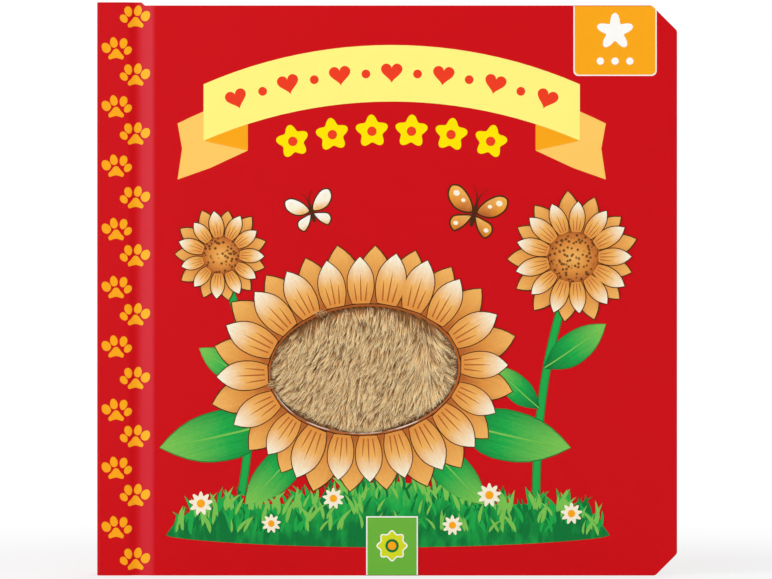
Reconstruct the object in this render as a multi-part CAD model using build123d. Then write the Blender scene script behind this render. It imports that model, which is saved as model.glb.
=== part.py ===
from build123d import *
import os

# Closed touch-and-feel board book, standing on its tail edges.
# Millimetres. +Z is up, the front cover faces -Y and the spine is at -X.
# The origin is under the middle of the book, in the plane that it stands on.

# Whole book
book_width = 173.0
book_height = 170.0
spine_overhang = 0.95  # how far the spine wrap stands above the trimmed head

# Boards
front_board = 1.6  # outer ply of the front cover
liner_board = 1.2  # inner ply of the front cover
back_board = 2.8
spine_wall = 1.6
edge_ease = 0.2  # chamfer where the cover boards were die-cut

# Pages
leaf_count = 4
leaf_thickness = 2.7
leaf_gap = 0.3
cover_gap = 0.3  # between a closed cover and the pages
gutter_width = 6.0  # glued width of the leaves, from the spine wall

# Pressed hinge creases, the same in both covers
hinge_strip = 11.6  # spine face to the lowest line of the crease
crease_depth = 0.9
crease_strip_side = 2.6
crease_panel_side = 6.2
spine_edge_round = 1.2

# Clipped corners at the fore-edge
head_corner_cut = 7.5
tail_corner_cut = 6.5
corner_ease = 1.5

# Oval window in the front cover and the fur patch behind it
window_width = 56.0
window_height = 37.7
window_from_spine = 79.8
window_above_tail = 61.4
window_tilt = 3.0  # degrees, fore-edge end up
window_bevel = 0.35
patch_flange = 6.0  # how far the fabric backing runs past the window
patch_backing = 0.6
pocket_clearance = 0.3
pile_clearance = 0.3
pile_edge_round = 1.2

# Run-out of a cutter past the face that it leaves
overcut = 1.0

# Planes across the book's width
spine_x = -book_width / 2
fore_x = book_width / 2
wall_x = spine_x + spine_wall
gutter_x = wall_x + gutter_width
crease_x = spine_x + hinge_strip
window_x = spine_x + window_from_spine

# Planes through the book's thickness, from the front to the back
front_cover = front_board + liner_board
page_thickness = leaf_count * leaf_thickness + (leaf_count - 1) * leaf_gap
book_thickness = front_cover + cover_gap + page_thickness + cover_gap + back_board
front_y = -book_thickness / 2
liner_y = front_y + front_board
pages_front_y = front_y + front_cover + cover_gap
pages_back_y = pages_front_y + page_thickness
back_board_y = pages_back_y + cover_gap
back_y = back_board_y + back_board


def upright_slab(plan, near_y, thickness):
    """Thickens an X-Z plan from near_y towards the back."""
    return Pos(0, near_y + thickness, 0) * extrude(Plane.XZ * plan, amount=thickness)


def trimmed_plan(left_x):
    """Outline from left_x to the fore-edge, with the two outer corners clipped."""
    outline = Polyline(
        (left_x, 0),
        (fore_x - tail_corner_cut, 0),
        (fore_x, tail_corner_cut),
        (fore_x, book_height - head_corner_cut),
        (fore_x - head_corner_cut, book_height),
        (left_x, book_height),
        close=True,
    )
    plan = make_face(outline)
    clipped_corners = plan.vertices().sort_by(Axis.X)[2:]
    return fillet(clipped_corners, corner_ease)


def window_oval(growth):
    """The window's oval, larger all round by growth."""
    oval = Ellipse(window_width / 2 + growth, window_height / 2 + growth, rotation=window_tilt)
    return Pos(window_x, window_above_tail) * oval


def crease_wall_cut(face_y, inward):
    """Wedge that slopes a panel's outer face down to the hinge line."""
    low_y = face_y + inward * crease_depth
    high_y = face_y - inward * crease_depth
    far_x = crease_x + 2 * crease_panel_side
    section = make_face(Polyline((crease_x, low_y), (far_x, high_y), (crease_x, high_y), close=True))
    return extrude(section, amount=book_height)


def eased(outer_face):
    """The board of outer_face, chamfered along that face's cut edges, not at the hinge line."""
    cut_edges = outer_face.outer_wire().edges().sort_by(Axis.X)[1:]
    return chamfer(cut_edges, edge_ease)


def make_front_cover_board():
    """Outer ply of the front cover, with the window cut through it."""
    board = upright_slab(trimmed_plan(crease_x), front_y, front_board)
    board = eased(board.faces().sort_by(Axis.Y)[0])
    board -= upright_slab(window_oval(0), front_y, front_board)
    rim = board.faces().sort_by(Axis.Y)[0].inner_wires()[0].edges()
    board = chamfer(rim, window_bevel)
    return board - crease_wall_cut(front_y, 1)


def make_front_liner_board():
    """Inner ply of the front cover, with a pocket for the patch's backing."""
    board = upright_slab(trimmed_plan(crease_x), liner_y, liner_board)
    pocket = window_oval(patch_flange + pocket_clearance)
    return board - upright_slab(pocket, liner_y, patch_backing)


def make_fur_patch():
    """Fabric backing in the pocket, and the pile that stands in the window."""
    backing = upright_slab(window_oval(patch_flange), liner_y, patch_backing)
    pile = upright_slab(window_oval(-pile_clearance), front_y, front_board)
    pile = fillet(pile.faces().sort_by(Axis.Y)[0].edges(), pile_edge_round)
    return backing + pile


def make_spine_wrap():
    """Front strip, spine wall and back strip, folded round the pages as one piece."""
    outline = Polyline(
        (crease_x, front_y + crease_depth),
        (crease_x - crease_strip_side, front_y),
        (spine_x, front_y),
        (spine_x, back_y),
        (crease_x - crease_strip_side, back_y),
        (crease_x, back_y - crease_depth),
        (crease_x, pages_back_y),
        (wall_x, pages_back_y),
        (wall_x, pages_front_y),
        (crease_x, pages_front_y),
        close=True,
    )
    section = make_face(outline)
    spine_edges = section.vertices().sort_by(Axis.X)[:2]
    section = fillet(spine_edges, spine_edge_round)
    return extrude(section, amount=book_height + spine_overhang)


def make_page_block():
    """The leaves, joined in the gutter and parted by narrow gaps."""
    block = upright_slab(trimmed_plan(wall_x), pages_front_y, page_thickness)
    gap_width = fore_x + overcut - gutter_x
    gap_height = book_height + 2 * overcut
    gap_plan = Pos(gutter_x, -overcut) * Rectangle(gap_width, gap_height, align=Align.MIN)
    for leaf in range(1, leaf_count):
        gap_y = pages_front_y + leaf * leaf_thickness + (leaf - 1) * leaf_gap
        block -= upright_slab(gap_plan, gap_y, leaf_gap)
    return block


def make_back_cover_board():
    """Back cover from its hinge line to the fore-edge, one board."""
    board = upright_slab(trimmed_plan(crease_x), back_board_y, back_board)
    board = eased(board.faces().sort_by(Axis.Y)[-1])
    return board - crease_wall_cut(back_y, -1)


nodes = {
    "front_cover_board": make_front_cover_board(),
    "front_liner_board": make_front_liner_board(),
    "fur_patch": make_fur_patch(),
    "spine_wrap": make_spine_wrap(),
    "page_block": make_page_block(),
    "back_cover_board": make_back_cover_board(),
}
os.makedirs("parts", exist_ok=True)
for name, solid in nodes.items():
    export_step(solid, f"parts/{name}.step")
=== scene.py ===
"""Dresses a packed touch-and-feel board book: boards, hinge creases, cover print, fur patch and studio.

Lengths in the classes are millimetres unless a name says otherwise. On the front cover, u runs from the
spine face towards the fore-edge and v from the tail towards the head.
"""

import logging
import math
import random
from abc import ABC, abstractmethod
from contextlib import contextmanager
from dataclasses import dataclass, replace
from enum import Enum, IntEnum
from typing import Callable, Iterable, Iterator, Sequence

import bpy
import numpy as np
from mathutils import Matrix, Vector


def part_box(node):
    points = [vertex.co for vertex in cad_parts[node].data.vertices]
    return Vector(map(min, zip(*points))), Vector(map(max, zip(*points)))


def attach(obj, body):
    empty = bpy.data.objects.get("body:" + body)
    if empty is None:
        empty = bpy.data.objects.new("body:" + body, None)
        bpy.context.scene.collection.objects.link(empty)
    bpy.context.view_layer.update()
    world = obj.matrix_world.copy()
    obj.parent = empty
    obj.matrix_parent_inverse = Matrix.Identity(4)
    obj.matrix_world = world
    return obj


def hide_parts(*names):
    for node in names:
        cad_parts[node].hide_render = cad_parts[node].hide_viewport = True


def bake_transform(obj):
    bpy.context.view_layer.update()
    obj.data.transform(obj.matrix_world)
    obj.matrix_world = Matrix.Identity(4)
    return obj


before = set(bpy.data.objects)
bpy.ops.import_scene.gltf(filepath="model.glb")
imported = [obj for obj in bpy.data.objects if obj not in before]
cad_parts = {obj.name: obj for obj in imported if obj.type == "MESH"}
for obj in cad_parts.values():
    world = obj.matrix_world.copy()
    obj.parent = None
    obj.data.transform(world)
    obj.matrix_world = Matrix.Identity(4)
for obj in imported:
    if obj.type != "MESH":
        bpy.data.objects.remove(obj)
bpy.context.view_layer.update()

LOG = logging.getLogger("board_book")
MM = 0.001
PRINT_MAP = "Print"

Point = tuple[float, float]
Triple = tuple[float, float, float]
Colour = tuple[float, float, float, float]
Outline = Sequence[Point]
Array = np.ndarray
Piece = bpy.types.Object
Socket = bpy.types.NodeSocket


class Ink(Enum):
    """Printed and dyed colours, as sRGB levels from 0 to 255."""

    COVER_RED = (204, 12, 22)
    PAW_ORANGE = (251, 169, 26)
    # A darker red painted on the spine's rounded edges as shade.
    WORN_RED = (195, 21, 28)
    # Pale inks for the sheen that is painted along the hinge crease's wall.
    HAZE_PINK = (255, 130, 165)
    HAZE_YELLOW = (255, 232, 70)
    RIBBON_YELLOW = (255, 245, 131)
    RIBBON_TAIL = (255, 203, 101)
    RIBBON_FOLD = (250, 168, 25)
    MOTIF_RED = (238, 62, 34)
    TITLE_YELLOW = (255, 229, 0)
    TAB_GREEN = (109, 181, 63)
    TAB_LIME = (214, 222, 38)
    WHITE = (252, 251, 248)
    CREAM = (248, 240, 217)
    HONEY = (240, 181, 98)
    AMBER = (222, 146, 66)
    RUST = (181, 98, 43)
    UMBER = (74, 40, 18)
    LEAF_LIGHT = (122, 196, 84)
    LEAF_GREEN = (31, 170, 74)
    LEAF_DARK = (14, 118, 56)
    BOARD_WHITE = (244, 239, 230)
    BOARD_GREY = (222, 214, 201)
    PAGE_CREAM = (243, 239, 229)
    # The fur's darker colours also paint the shade deep in the pile and between locks.
    FUR_ROOT = (112, 72, 38)
    FUR_DARK = (138, 94, 52)
    FUR_SHADE = (212, 147, 85)
    FUR_TAN = (255, 214, 149)
    FUR_TIP = (255, 240, 194)
    FLOOR = (247, 247, 246)

    def linear(self, tone: Triple = (1.0, 1.0, 1.0)) -> Colour:
        """The colour in linear red, green, blue and alpha, the first three multiplied by tone."""
        red, green, blue = (self._decode(level / 255) * part for level, part in zip(self.value, tone))
        return red, green, blue, 1.0

    @staticmethod
    def _decode(level: float) -> float:
        """One sRGB level from 0 to 1, made linear."""
        return level / 12.92 if level <= 0.04045 else ((level + 0.055) / 1.055) ** 2.4


Feed = Socket | float | Sequence[float] | Ink


class Layer(IntEnum):
    """Order of the printed films, each a step further out of the cover."""

    GROUND = 1
    GROUND_TONE = 2
    DETAIL = 3
    DETAIL_TONE = 4
    LEAF_LINE = 5
    LEAF_FILL = 6
    LEAF_VEIN = 7
    BACK_LINE = 8
    BACK_FILL = 9
    FRONT_LINE = 10
    FRONT_FILL = 11
    STROKES = 12
    HEART = 13
    TOP = 14
    TOP_TONE = 15
    TOP_MARK = 16
    TOP_FLOWER = 17
    TOP_RING = 18
    TOP_HEART = 19


class Side(Enum):
    """A cover, by the sign of its outward direction along Y and the body that it rides on."""

    FRONT = (-1.0, "front_cover")
    BACK = (1.0, "back_cover")

    def __init__(self, outward: float, body: str) -> None:
        """Keeps the sign and the body's name under their own names."""
        self.outward = outward
        self.body = body


@dataclass(frozen=True)
class BookFrame:
    """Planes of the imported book, read from the boxes of its nodes."""

    spine_x: float
    crease_x: float
    fore_x: float
    front_y: float
    liner_y: float
    inside_front_y: float
    pages_front_y: float
    inside_back_y: float
    back_y: float
    head_z: float
    wrap_head_z: float
    window_x: float
    window_z: float
    patch_back_y: float

    @classmethod
    def read(cls) -> "BookFrame":
        """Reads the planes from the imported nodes.

        Returns:
            The book's planes in millimetres.
        """
        boxes = {name: tuple(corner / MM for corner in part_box(name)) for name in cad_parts}
        front_low, front_high = boxes["front_cover_board"]
        wrap_low, wrap_high = boxes["spine_wrap"]
        back_low, back_high = boxes["back_cover_board"]
        patch_low, patch_high = boxes["fur_patch"]
        patch_middle = (patch_low + patch_high) / 2
        return cls(
            spine_x=wrap_low.x,
            crease_x=front_low.x,
            fore_x=front_high.x,
            front_y=front_low.y,
            liner_y=front_high.y,
            inside_front_y=boxes["front_liner_board"][1].y,
            pages_front_y=boxes["page_block"][0].y,
            inside_back_y=back_low.y,
            back_y=back_high.y,
            head_z=front_high.z,
            wrap_head_z=wrap_high.z,
            window_x=patch_middle.x,
            window_z=patch_middle.z,
            patch_back_y=patch_high.y,
        )


BOOK = BookFrame.read()


@dataclass(frozen=True)
class Oval:
    """An oval on the cover, by its middle, its half axes and its tilt in degrees."""

    u: float
    v: float
    half_width: float
    half_height: float
    tilt: float = 0.0
    fine: int = 720

    def point(self, turn: float, growth: float = 0.0) -> Point:
        """A point of the oval.

        Args:
            turn: Angle in the oval's own parameter, in radians.
            growth: How much larger the oval is, all round.

        Returns:
            The point's u and v.
        """
        across = (self.half_width + growth) * math.cos(turn)
        up = (self.half_height + growth) * math.sin(turn)
        lean = math.radians(self.tilt)
        u = self.u + across * math.cos(lean) - up * math.sin(lean)
        v = self.v + across * math.sin(lean) + up * math.cos(lean)
        return u, v

    def ring(self, count: int, growth: float) -> list[Point]:
        """Points all round the oval, grown by growth."""
        return [self.point(turn, growth) for turn in round_turns(count)]

    def outward(self, turn: float) -> float:
        """Direction of the oval's outward normal at a parameter, in radians from +u."""
        normal = math.atan2(math.sin(turn) / self.half_height, math.cos(turn) / self.half_width)
        return normal + math.radians(self.tilt)

    def even_turns(self, count: int, offset: float) -> list[float]:
        """Parameters of points that lie evenly along the oval.

        Args:
            count: How many points.
            offset: Share of a step by which the first point is moved on.

        Returns:
            The parameters in radians.
        """
        turns = np.linspace(0.0, math.tau, self.fine + 1)
        places = np.array([self.point(turn) for turn in turns])
        run = np.concatenate([[0.0], np.cumsum(np.linalg.norm(np.diff(places, axis=0), axis=1))])
        wanted = (np.arange(count) + offset) / count * run[-1]
        return [float(turn) for turn in np.interp(wanted, run, turns)]


WINDOW = Oval(BOOK.window_x - BOOK.spine_x, BOOK.window_z, half_width=28.0, half_height=18.85, tilt=3.0)


class NodeBoard:
    """The nodes of a material or of the world, with short calls for those that are often used."""

    def __init__(self, owner: bpy.types.Material | bpy.types.World, shader: str = "Principled BSDF") -> None:
        """Starts from the owner's own nodes and its one shader.

        Args:
            owner: The material or the world.
            shader: Name of the shader's node.
        """
        owner.use_nodes = True
        self.owner = owner
        self.tree = owner.node_tree
        self.shader = self.tree.nodes[shader]

    def feed(self, socket: Socket, value: Feed) -> None:
        """Links an output to a socket, or sets the socket to a constant.

        Args:
            socket: The socket.
            value: The output, ink or constant.
        """
        if isinstance(value, bpy.types.NodeSocket):
            self.tree.links.new(value, socket)
        else:
            socket.default_value = value.linear() if isinstance(value, Ink) else value

    def node(self, kind: str, feeds: dict[str | int, Feed] | None = None, **settings: str) -> bpy.types.Node:
        """Adds a node.

        Args:
            kind: The node's type name, after ShaderNode.
            feeds: What goes into its sockets, by their names or numbers.
            **settings: Attributes that are set on it first.

        Returns:
            The node.
        """
        made = self.tree.nodes.new(f"ShaderNode{kind}")
        for name, value in settings.items():
            setattr(made, name, value)
        for socket, value in (feeds or {}).items():
            self.feed(made.inputs[socket], value)
        return made

    def set(self, name: str, value: Feed) -> None:
        """Sets or links one socket of the shader."""
        self.feed(self.shader.inputs[name], value)

    def shade(self, colour: Feed, roughness: Feed, shine: float) -> None:
        """Sets the shader's colour, its roughness and, as shine, its specular level."""
        for name, value in (("Base Color", colour), ("Roughness", roughness), ("Specular IOR Level", shine)):
            self.set(name, value)

    def relief(self, height: Socket, strength: float, depth_m: float) -> None:
        """Gives the shader a fine relief, depth_m metres deep, from a height between 0 and 1."""
        bump = self.node("Bump", {"Strength": strength, "Distance": depth_m, "Height": height})
        self.set("Normal", bump.outputs["Normal"])

    def place(self, scale: Triple = (1.0, 1.0, 1.0)) -> Socket:
        """The piece's own coordinates in metres, stretched by scale."""
        return self.mapped(self.node("TexCoord").outputs["Object"], scale=scale)

    def surface(self, scale: Triple = (1.0, 1.0, 1.0)) -> Socket:
        """The print map of the piece, stretched by scale."""
        return self.mapped(self.node("UVMap", uv_map=PRINT_MAP).outputs["UV"], scale=scale)

    def facing(self) -> tuple[Socket, Socket, Socket]:
        """The three parts of the piece's own surface normal."""
        return self.split(self.node("TexCoord").outputs["Normal"])

    def mapped(
        self,
        vector: Socket,
        location: Triple = (0.0, 0.0, 0.0),
        rotation: Triple = (0.0, 0.0, 0.0),
        scale: Triple = (1.0, 1.0, 1.0),
    ) -> Socket:
        """Coordinates that are stretched by scale, then turned, in radians, and then moved."""
        feeds = {"Vector": vector, "Location": location, "Rotation": rotation, "Scale": scale}
        return self.node("Mapping", feeds).outputs["Vector"]

    def split(self, vector: Socket) -> tuple[Socket, Socket, Socket]:
        """The three parts of a vector."""
        return tuple(self.node("SeparateXYZ", {0: vector}).outputs)

    def length(self, vector: Socket) -> Socket:
        """The length of a vector."""
        return self.node("VectorMath", {0: vector}, operation="LENGTH").outputs["Value"]

    def noise(self, vector: Socket, scale: float, detail: float = 2.0, roughness: float = 0.5) -> Socket:
        """Noise between 0 and 1 about a half, with scale repeats to each unit of the coordinates."""
        feeds = {"Vector": vector, "Scale": scale, "Detail": detail, "Roughness": roughness}
        return self.node("TexNoise", feeds).outputs["Fac"]

    def math(self, operation: str, *operands: Socket | float) -> Socket:
        """One step of arithmetic, by the name of its operation."""
        return self.node("Math", dict(enumerate(operands)), operation=operation).outputs[0]

    def swing(self, noise: Socket, reach: float) -> Socket:
        """Noise that swings about 0, by half of the reach to each side."""
        return self.math("MULTIPLY", self.math("SUBTRACT", noise, 0.5), reach)

    def spread(
        self, value: Socket, low: float, high: float, to_low: float = 0.0, to_high: float = 1.0
    ) -> Socket:
        """Maps the range from low to high smoothly to that from to_low to to_high, and holds its ends."""
        feeds = {"Value": value, "From Min": low, "From Max": high, "To Min": to_low, "To Max": to_high}
        return self.node("MapRange", feeds, interpolation_type="SMOOTHSTEP").outputs["Result"]

    def mix(self, share: Socket, first: Feed, second: Feed) -> Socket:
        """Mixes two colours.

        Args:
            share: How much of the second, from 0 to 1.
            first: First colour.
            second: Second colour.

        Returns:
            The mixed colour.
        """
        factor, colour_a, colour_b, colour_out = 0, 6, 7, 2
        feeds = {factor: share, colour_a: first, colour_b: second}
        return self.node("Mix", feeds, data_type="RGBA").outputs[colour_out]

    def ramp(self, value: Socket, stops: Sequence[tuple[float, Ink]]) -> Socket:
        """Colours along a value.

        Args:
            value: The value, from 0 to 1.
            stops: Places along it with their inks, in order.

        Returns:
            The colour.
        """
        ramp = self.node("ValToRGB", {"Fac": value})
        elements = ramp.color_ramp.elements
        for place, _ in stops[len(elements):]:
            elements.new(place)
        for element, (place, ink) in zip(elements, stops):
            element.position = place
            element.color = ink.linear()
        return ramp.outputs["Color"]


# Finishes


class Carrier(Enum):
    """What carries a pattern: the piece's own place, or its print map where the piece bends."""

    PLACE = "place"
    MAP = "map"


class Finish(ABC):
    """A finish, which is made into a material of its own for each piece."""

    def material(self, name: str) -> bpy.types.Material:
        """Makes the material.

        Args:
            name: Its name.

        Returns:
            The material.
        """
        board = NodeBoard(bpy.data.materials.new(name))
        self.paint(board)
        return board.owner

    @abstractmethod
    def paint(self, board: NodeBoard) -> None:
        """Lays out the finish on a material's nodes."""


@dataclass(frozen=True)
class Laminate:
    """The cover's print: offset ink, a little uneven, under a thin satin film."""

    cloud: float = 60.0
    cloud_span: Point = (0.3, 0.7)
    unevenness: float = 0.05
    deeper: Triple = (0.75, 0.6, 0.6)
    sweep: float = 45.0
    smoothest: float = 0.17
    gloss_spread: float = 0.06
    shine: float = 0.06
    grain: float = 2600.0
    grain_relief: float = 0.06
    grain_depth_m: float = 0.00003
    dulled: float = 0.9

    def field(self, board: NodeBoard, place: Socket, ink: Ink) -> Socket:
        """Colour of a printed field.

        Args:
            board: The material's nodes.
            place: Coordinates in metres.
            ink: The ink.

        Returns:
            The colour.
        """
        cloud = board.noise(place, self.cloud, detail=3.0)
        share = board.spread(cloud, *self.cloud_span, 0.0, self.unevenness)
        return board.mix(share, ink, ink.linear(self.deeper))

    def lay(self, board: NodeBoard, colour: Socket, place: Socket, rubbed_and_shaded: Socket | None = None) -> None:
        """Gives a print its film: shine, slightly uneven gloss and a fine grain.

        Args:
            board: The material's nodes.
            colour: The print's colour.
            place: Coordinates in metres that carry the grain.
            rubbed_and_shaded: Share of rubbing that dulls the film, where there is any. On the wrap the same
                share darkens the ink as painted shade.
        """
        gloss = board.math("MULTIPLY_ADD", board.noise(place, self.sweep), self.gloss_spread, self.smoothest)
        if rubbed_and_shaded is not None:
            gloss = board.math("MAXIMUM", gloss, board.math("MULTIPLY", rubbed_and_shaded, self.dulled))
        board.shade(colour, gloss, self.shine)
        board.relief(board.noise(place, self.grain), self.grain_relief, self.grain_depth_m)


FILM = Laminate()


@dataclass(frozen=True)
class BoardStock:
    """What boards and pages are made of: layered pulp where it is cut, coated cream paper on its faces."""

    layer_grain: Triple = (260.0, 7000.0, 260.0)
    fibre_grain: Triple = (1500.0, 3500.0, 1500.0)
    fibre_share: float = 0.35
    pulp_span: Point = (0.32, 0.68)
    core_roughness: float = 0.82
    paper_cloud: float = 240.0
    paper_span: Point = (0.35, 0.65)
    paper_warmth: Triple = (0.99, 0.982, 0.96)
    paper_roughness: float = 0.42
    shine: float = 0.25
    tooth: float = 2200.0
    tooth_relief: float = 0.08
    tooth_depth_m: float = 0.00004

    def core(self, board: NodeBoard, place: Socket) -> Socket:
        """Colour of cut board.

        Args:
            board: The material's nodes.
            place: Coordinates in metres, Y through the board.

        Returns:
            The colour.
        """
        layers = board.noise(board.mapped(place, scale=self.layer_grain), 1.0, detail=3.0, roughness=0.6)
        fibres = board.noise(board.mapped(place, scale=self.fibre_grain), 1.0)
        pulp = board.math("MULTIPLY", layers, 1 - self.fibre_share)
        pulp = board.math("ADD", pulp, board.math("MULTIPLY", fibres, self.fibre_share))
        return board.mix(board.spread(pulp, *self.pulp_span), Ink.BOARD_GREY, Ink.BOARD_WHITE)

    def paper(self, board: NodeBoard, place: Socket) -> Socket:
        """Colour of a coated inside page, very slightly cloudy, at coordinates in metres."""
        cloud = board.spread(board.noise(place, self.paper_cloud, detail=3.0), *self.paper_span)
        return board.mix(cloud, Ink.PAGE_CREAM, Ink.PAGE_CREAM.linear(self.paper_warmth))

    def lay(self, board: NodeBoard, colour: Socket, roughness: Feed, place: Socket) -> None:
        """Gives bare board or paper its dull surface, with a fine tooth at coordinates in metres."""
        board.shade(colour, roughness, self.shine)
        board.relief(board.noise(place, self.tooth), self.tooth_relief, self.tooth_depth_m)


STOCK = BoardStock()


@dataclass(frozen=True)
class PrintInk(Finish):
    """A field of one printed colour, paled along a crease's wall where a sheen is painted into it."""

    ink: Ink
    carrier: Carrier = Carrier.PLACE
    haze: float = 0.0
    sheen_ink: Ink = Ink.WHITE

    def paint(self, board: NodeBoard) -> None:
        """Lays out the field and pales it along the crease's wall, a painted highlight where the wall faces
        the light.

        Args:
            board: The material's nodes.
        """
        place = board.place() if self.carrier is Carrier.PLACE else board.surface()
        colour = FILM.field(board, place, self.ink)
        # Painted sheen: the print is paled towards a light ink across the crease's wall.
        if self.haze:
            across, _, _ = board.split(place)
            foot, full, fading, top = ((BOOK.crease_x + line) * MM for line in CREASE.haze_lines)
            rise = board.spread(across, foot, full, 0.0, self.haze)
            fall = board.spread(across, fading, top, self.haze, 0.0)
            colour = board.mix(board.math("MINIMUM", rise, fall), colour, self.sheen_ink)
        FILM.lay(board, colour, place)


@dataclass(frozen=True)
class PaintWash(Finish):
    """Painted shading along a shape, from its base to its tip, with soft streaks and darker sides."""

    base: Ink
    middle: Ink
    tip: Ink
    side: Ink
    side_share: float = 0.45
    side_span: Point = (0.35, 1.05)
    stops: Triple = (0.05, 0.45, 0.92)
    streak: float = 0.22
    streak_grain: Triple = (9.0, 1.6, 1.0)
    fleck_grain: float = 900.0

    def paint(self, board: NodeBoard) -> None:
        """Lays out the wash.

        Args:
            board: The material's nodes.
        """
        place = board.place()
        across, along, _ = board.split(board.surface())
        streaks = board.noise(board.surface(self.streak_grain), 1.0, detail=4.0, roughness=0.65)
        flecks = board.noise(place, self.fleck_grain, detail=3.0, roughness=0.7)
        run = board.math("ADD", along, board.swing(streaks, 2 * self.streak))
        run = board.math("ADD", run, board.swing(flecks, self.streak))
        colour = board.ramp(run, list(zip(self.stops, (self.base, self.middle, self.tip))))
        share = board.spread(board.math("ABSOLUTE", across), *self.side_span, 0.0, self.side_share)
        FILM.lay(board, board.mix(share, colour, self.side), place)


@dataclass(frozen=True)
class MeadowWash(Finish):
    """Mottled painted greens for the ground, lighter towards the top."""

    foot_v: float = 10.0
    top_v: float = 34.0
    foot_tone: float = 0.05
    top_tone: float = 0.75
    blade_grain: Triple = (420.0, 1.0, 130.0)
    patch_grain: float = 70.0
    patch_swing: float = 0.9
    stops: tuple[tuple[float, Ink], ...] = (
        (0.0, Ink.LEAF_DARK),
        (0.38, Ink.LEAF_GREEN),
        (0.85, Ink.LEAF_LIGHT),
    )

    def paint(self, board: NodeBoard) -> None:
        """Lays out the greens.

        Args:
            board: The material's nodes.
        """
        place = board.place()
        _, _, height = board.split(place)
        blades = board.noise(board.place(self.blade_grain), 1.0, detail=4.0, roughness=0.6)
        patches = board.noise(place, self.patch_grain, detail=3.0)
        tone = board.spread(height, self.foot_v * MM, self.top_v * MM, self.foot_tone, self.top_tone)
        tone = board.math("ADD", tone, board.swing(blades, 1.0))
        tone = board.math("ADD", tone, board.swing(patches, self.patch_swing))
        FILM.lay(board, board.ramp(tone, self.stops), place)


@dataclass(frozen=True)
class SeedDisc(Finish):
    """Painted middle of a flower: small dark seeds on a warm ground, darker towards the rim."""

    seed_grain: float = 900.0
    seed_span: Point = (0.25, 0.5)
    seed_share: float = 0.85
    stops: tuple[tuple[float, Ink], ...] = ((0.0, Ink.HONEY), (0.55, Ink.AMBER), (1.0, Ink.RUST))

    def paint(self, board: NodeBoard) -> None:
        """Lays out the seeds and their ground.

        Args:
            board: The material's nodes.
        """
        centred = board.mapped(board.surface(), location=(0.0, -1.0, 0.0), scale=(1.0, 2.0, 0.0))
        ground = board.ramp(board.length(centred), self.stops)
        flat = board.place((1.0, 0.0, 1.0))
        seeds = board.node("TexVoronoi", {"Vector": flat, "Scale": self.seed_grain}).outputs["Distance"]
        share = board.spread(seeds, *self.seed_span, self.seed_share, 0.0)
        FILM.lay(board, board.mix(share, ground, Ink.UMBER), board.place())


@dataclass(frozen=True)
class CoverBoard(Finish):
    """A cover board: print on its outer face, pale pulp at its cut edges, page paper inside."""

    side: Side
    windowed: bool = False
    face_span: Point = (0.4, 0.55)
    rim_reach: float = 0.3
    rim_lean: float = 0.45
    lit_foot_span: Point = (0.2, 0.5)
    patch_grain: float = 150.0
    patch_span: Point = (0.43, 0.58)
    patch_shares: Point = (0.08, 0.9)

    def paint(self, board: NodeBoard) -> None:
        """Lays out the print, the cut edges and the inside.

        Args:
            board: The material's nodes.
        """
        place = board.place()
        _, facing, _ = board.facing()
        outside = board.spread(board.math("MULTIPLY", facing, self.side.outward), *self.face_span)
        inside = board.spread(board.math("MULTIPLY", facing, -self.side.outward), *self.face_span)
        ink = FILM.field(board, place, Ink.COVER_RED)
        if self.windowed:
            ink = self._rim_ink(board, place, ink)
        bare = board.mix(inside, STOCK.core(board, place), STOCK.paper(board, place))
        FILM.lay(board, board.mix(outside, bare, ink), place)

    def _rim_ink(self, board: NodeBoard, place: Socket, ink: Socket) -> Socket:
        """Runs the flower's ground colour over the window's rim, with patches of white board along its foot
        where the rim faces up and towards the fore-edge: bare board and a painted highlight of light catching
        the cut edge.

        Args:
            board: The material's nodes.
            place: Coordinates in metres.
            ink: Colour of the face round it.

        Returns:
            The colour of face and rim.
        """
        across, _, up = board.facing()
        # Painted highlight: the white board shows only where the rim faces up and towards the fore-edge, the
        # side that catches the light.
        lit = board.math("ADD", board.math("MULTIPLY", across, self.rim_lean), up)
        foot = board.spread(lit, *self.lit_foot_span)
        patches = board.spread(board.noise(place, self.patch_grain), *self.patch_span, *self.patch_shares)
        rim = board.mix(board.math("MULTIPLY", foot, patches), Ink.RUST, Ink.BOARD_WHITE)
        centred = board.mapped(place, location=(-BOOK.window_x * MM, 0.0, -BOOK.window_z * MM))
        turned = board.mapped(centred, rotation=(0.0, math.radians(WINDOW.tilt), 0.0))
        wide = (WINDOW.half_width + self.rim_reach) * MM
        high = (WINDOW.half_height + self.rim_reach) * MM
        reach = board.length(board.mapped(turned, scale=(1.0 / wide, 0.0, 1.0 / high)))
        return board.mix(board.math("GREATER_THAN", reach, 1.0), rim, ink)


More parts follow.
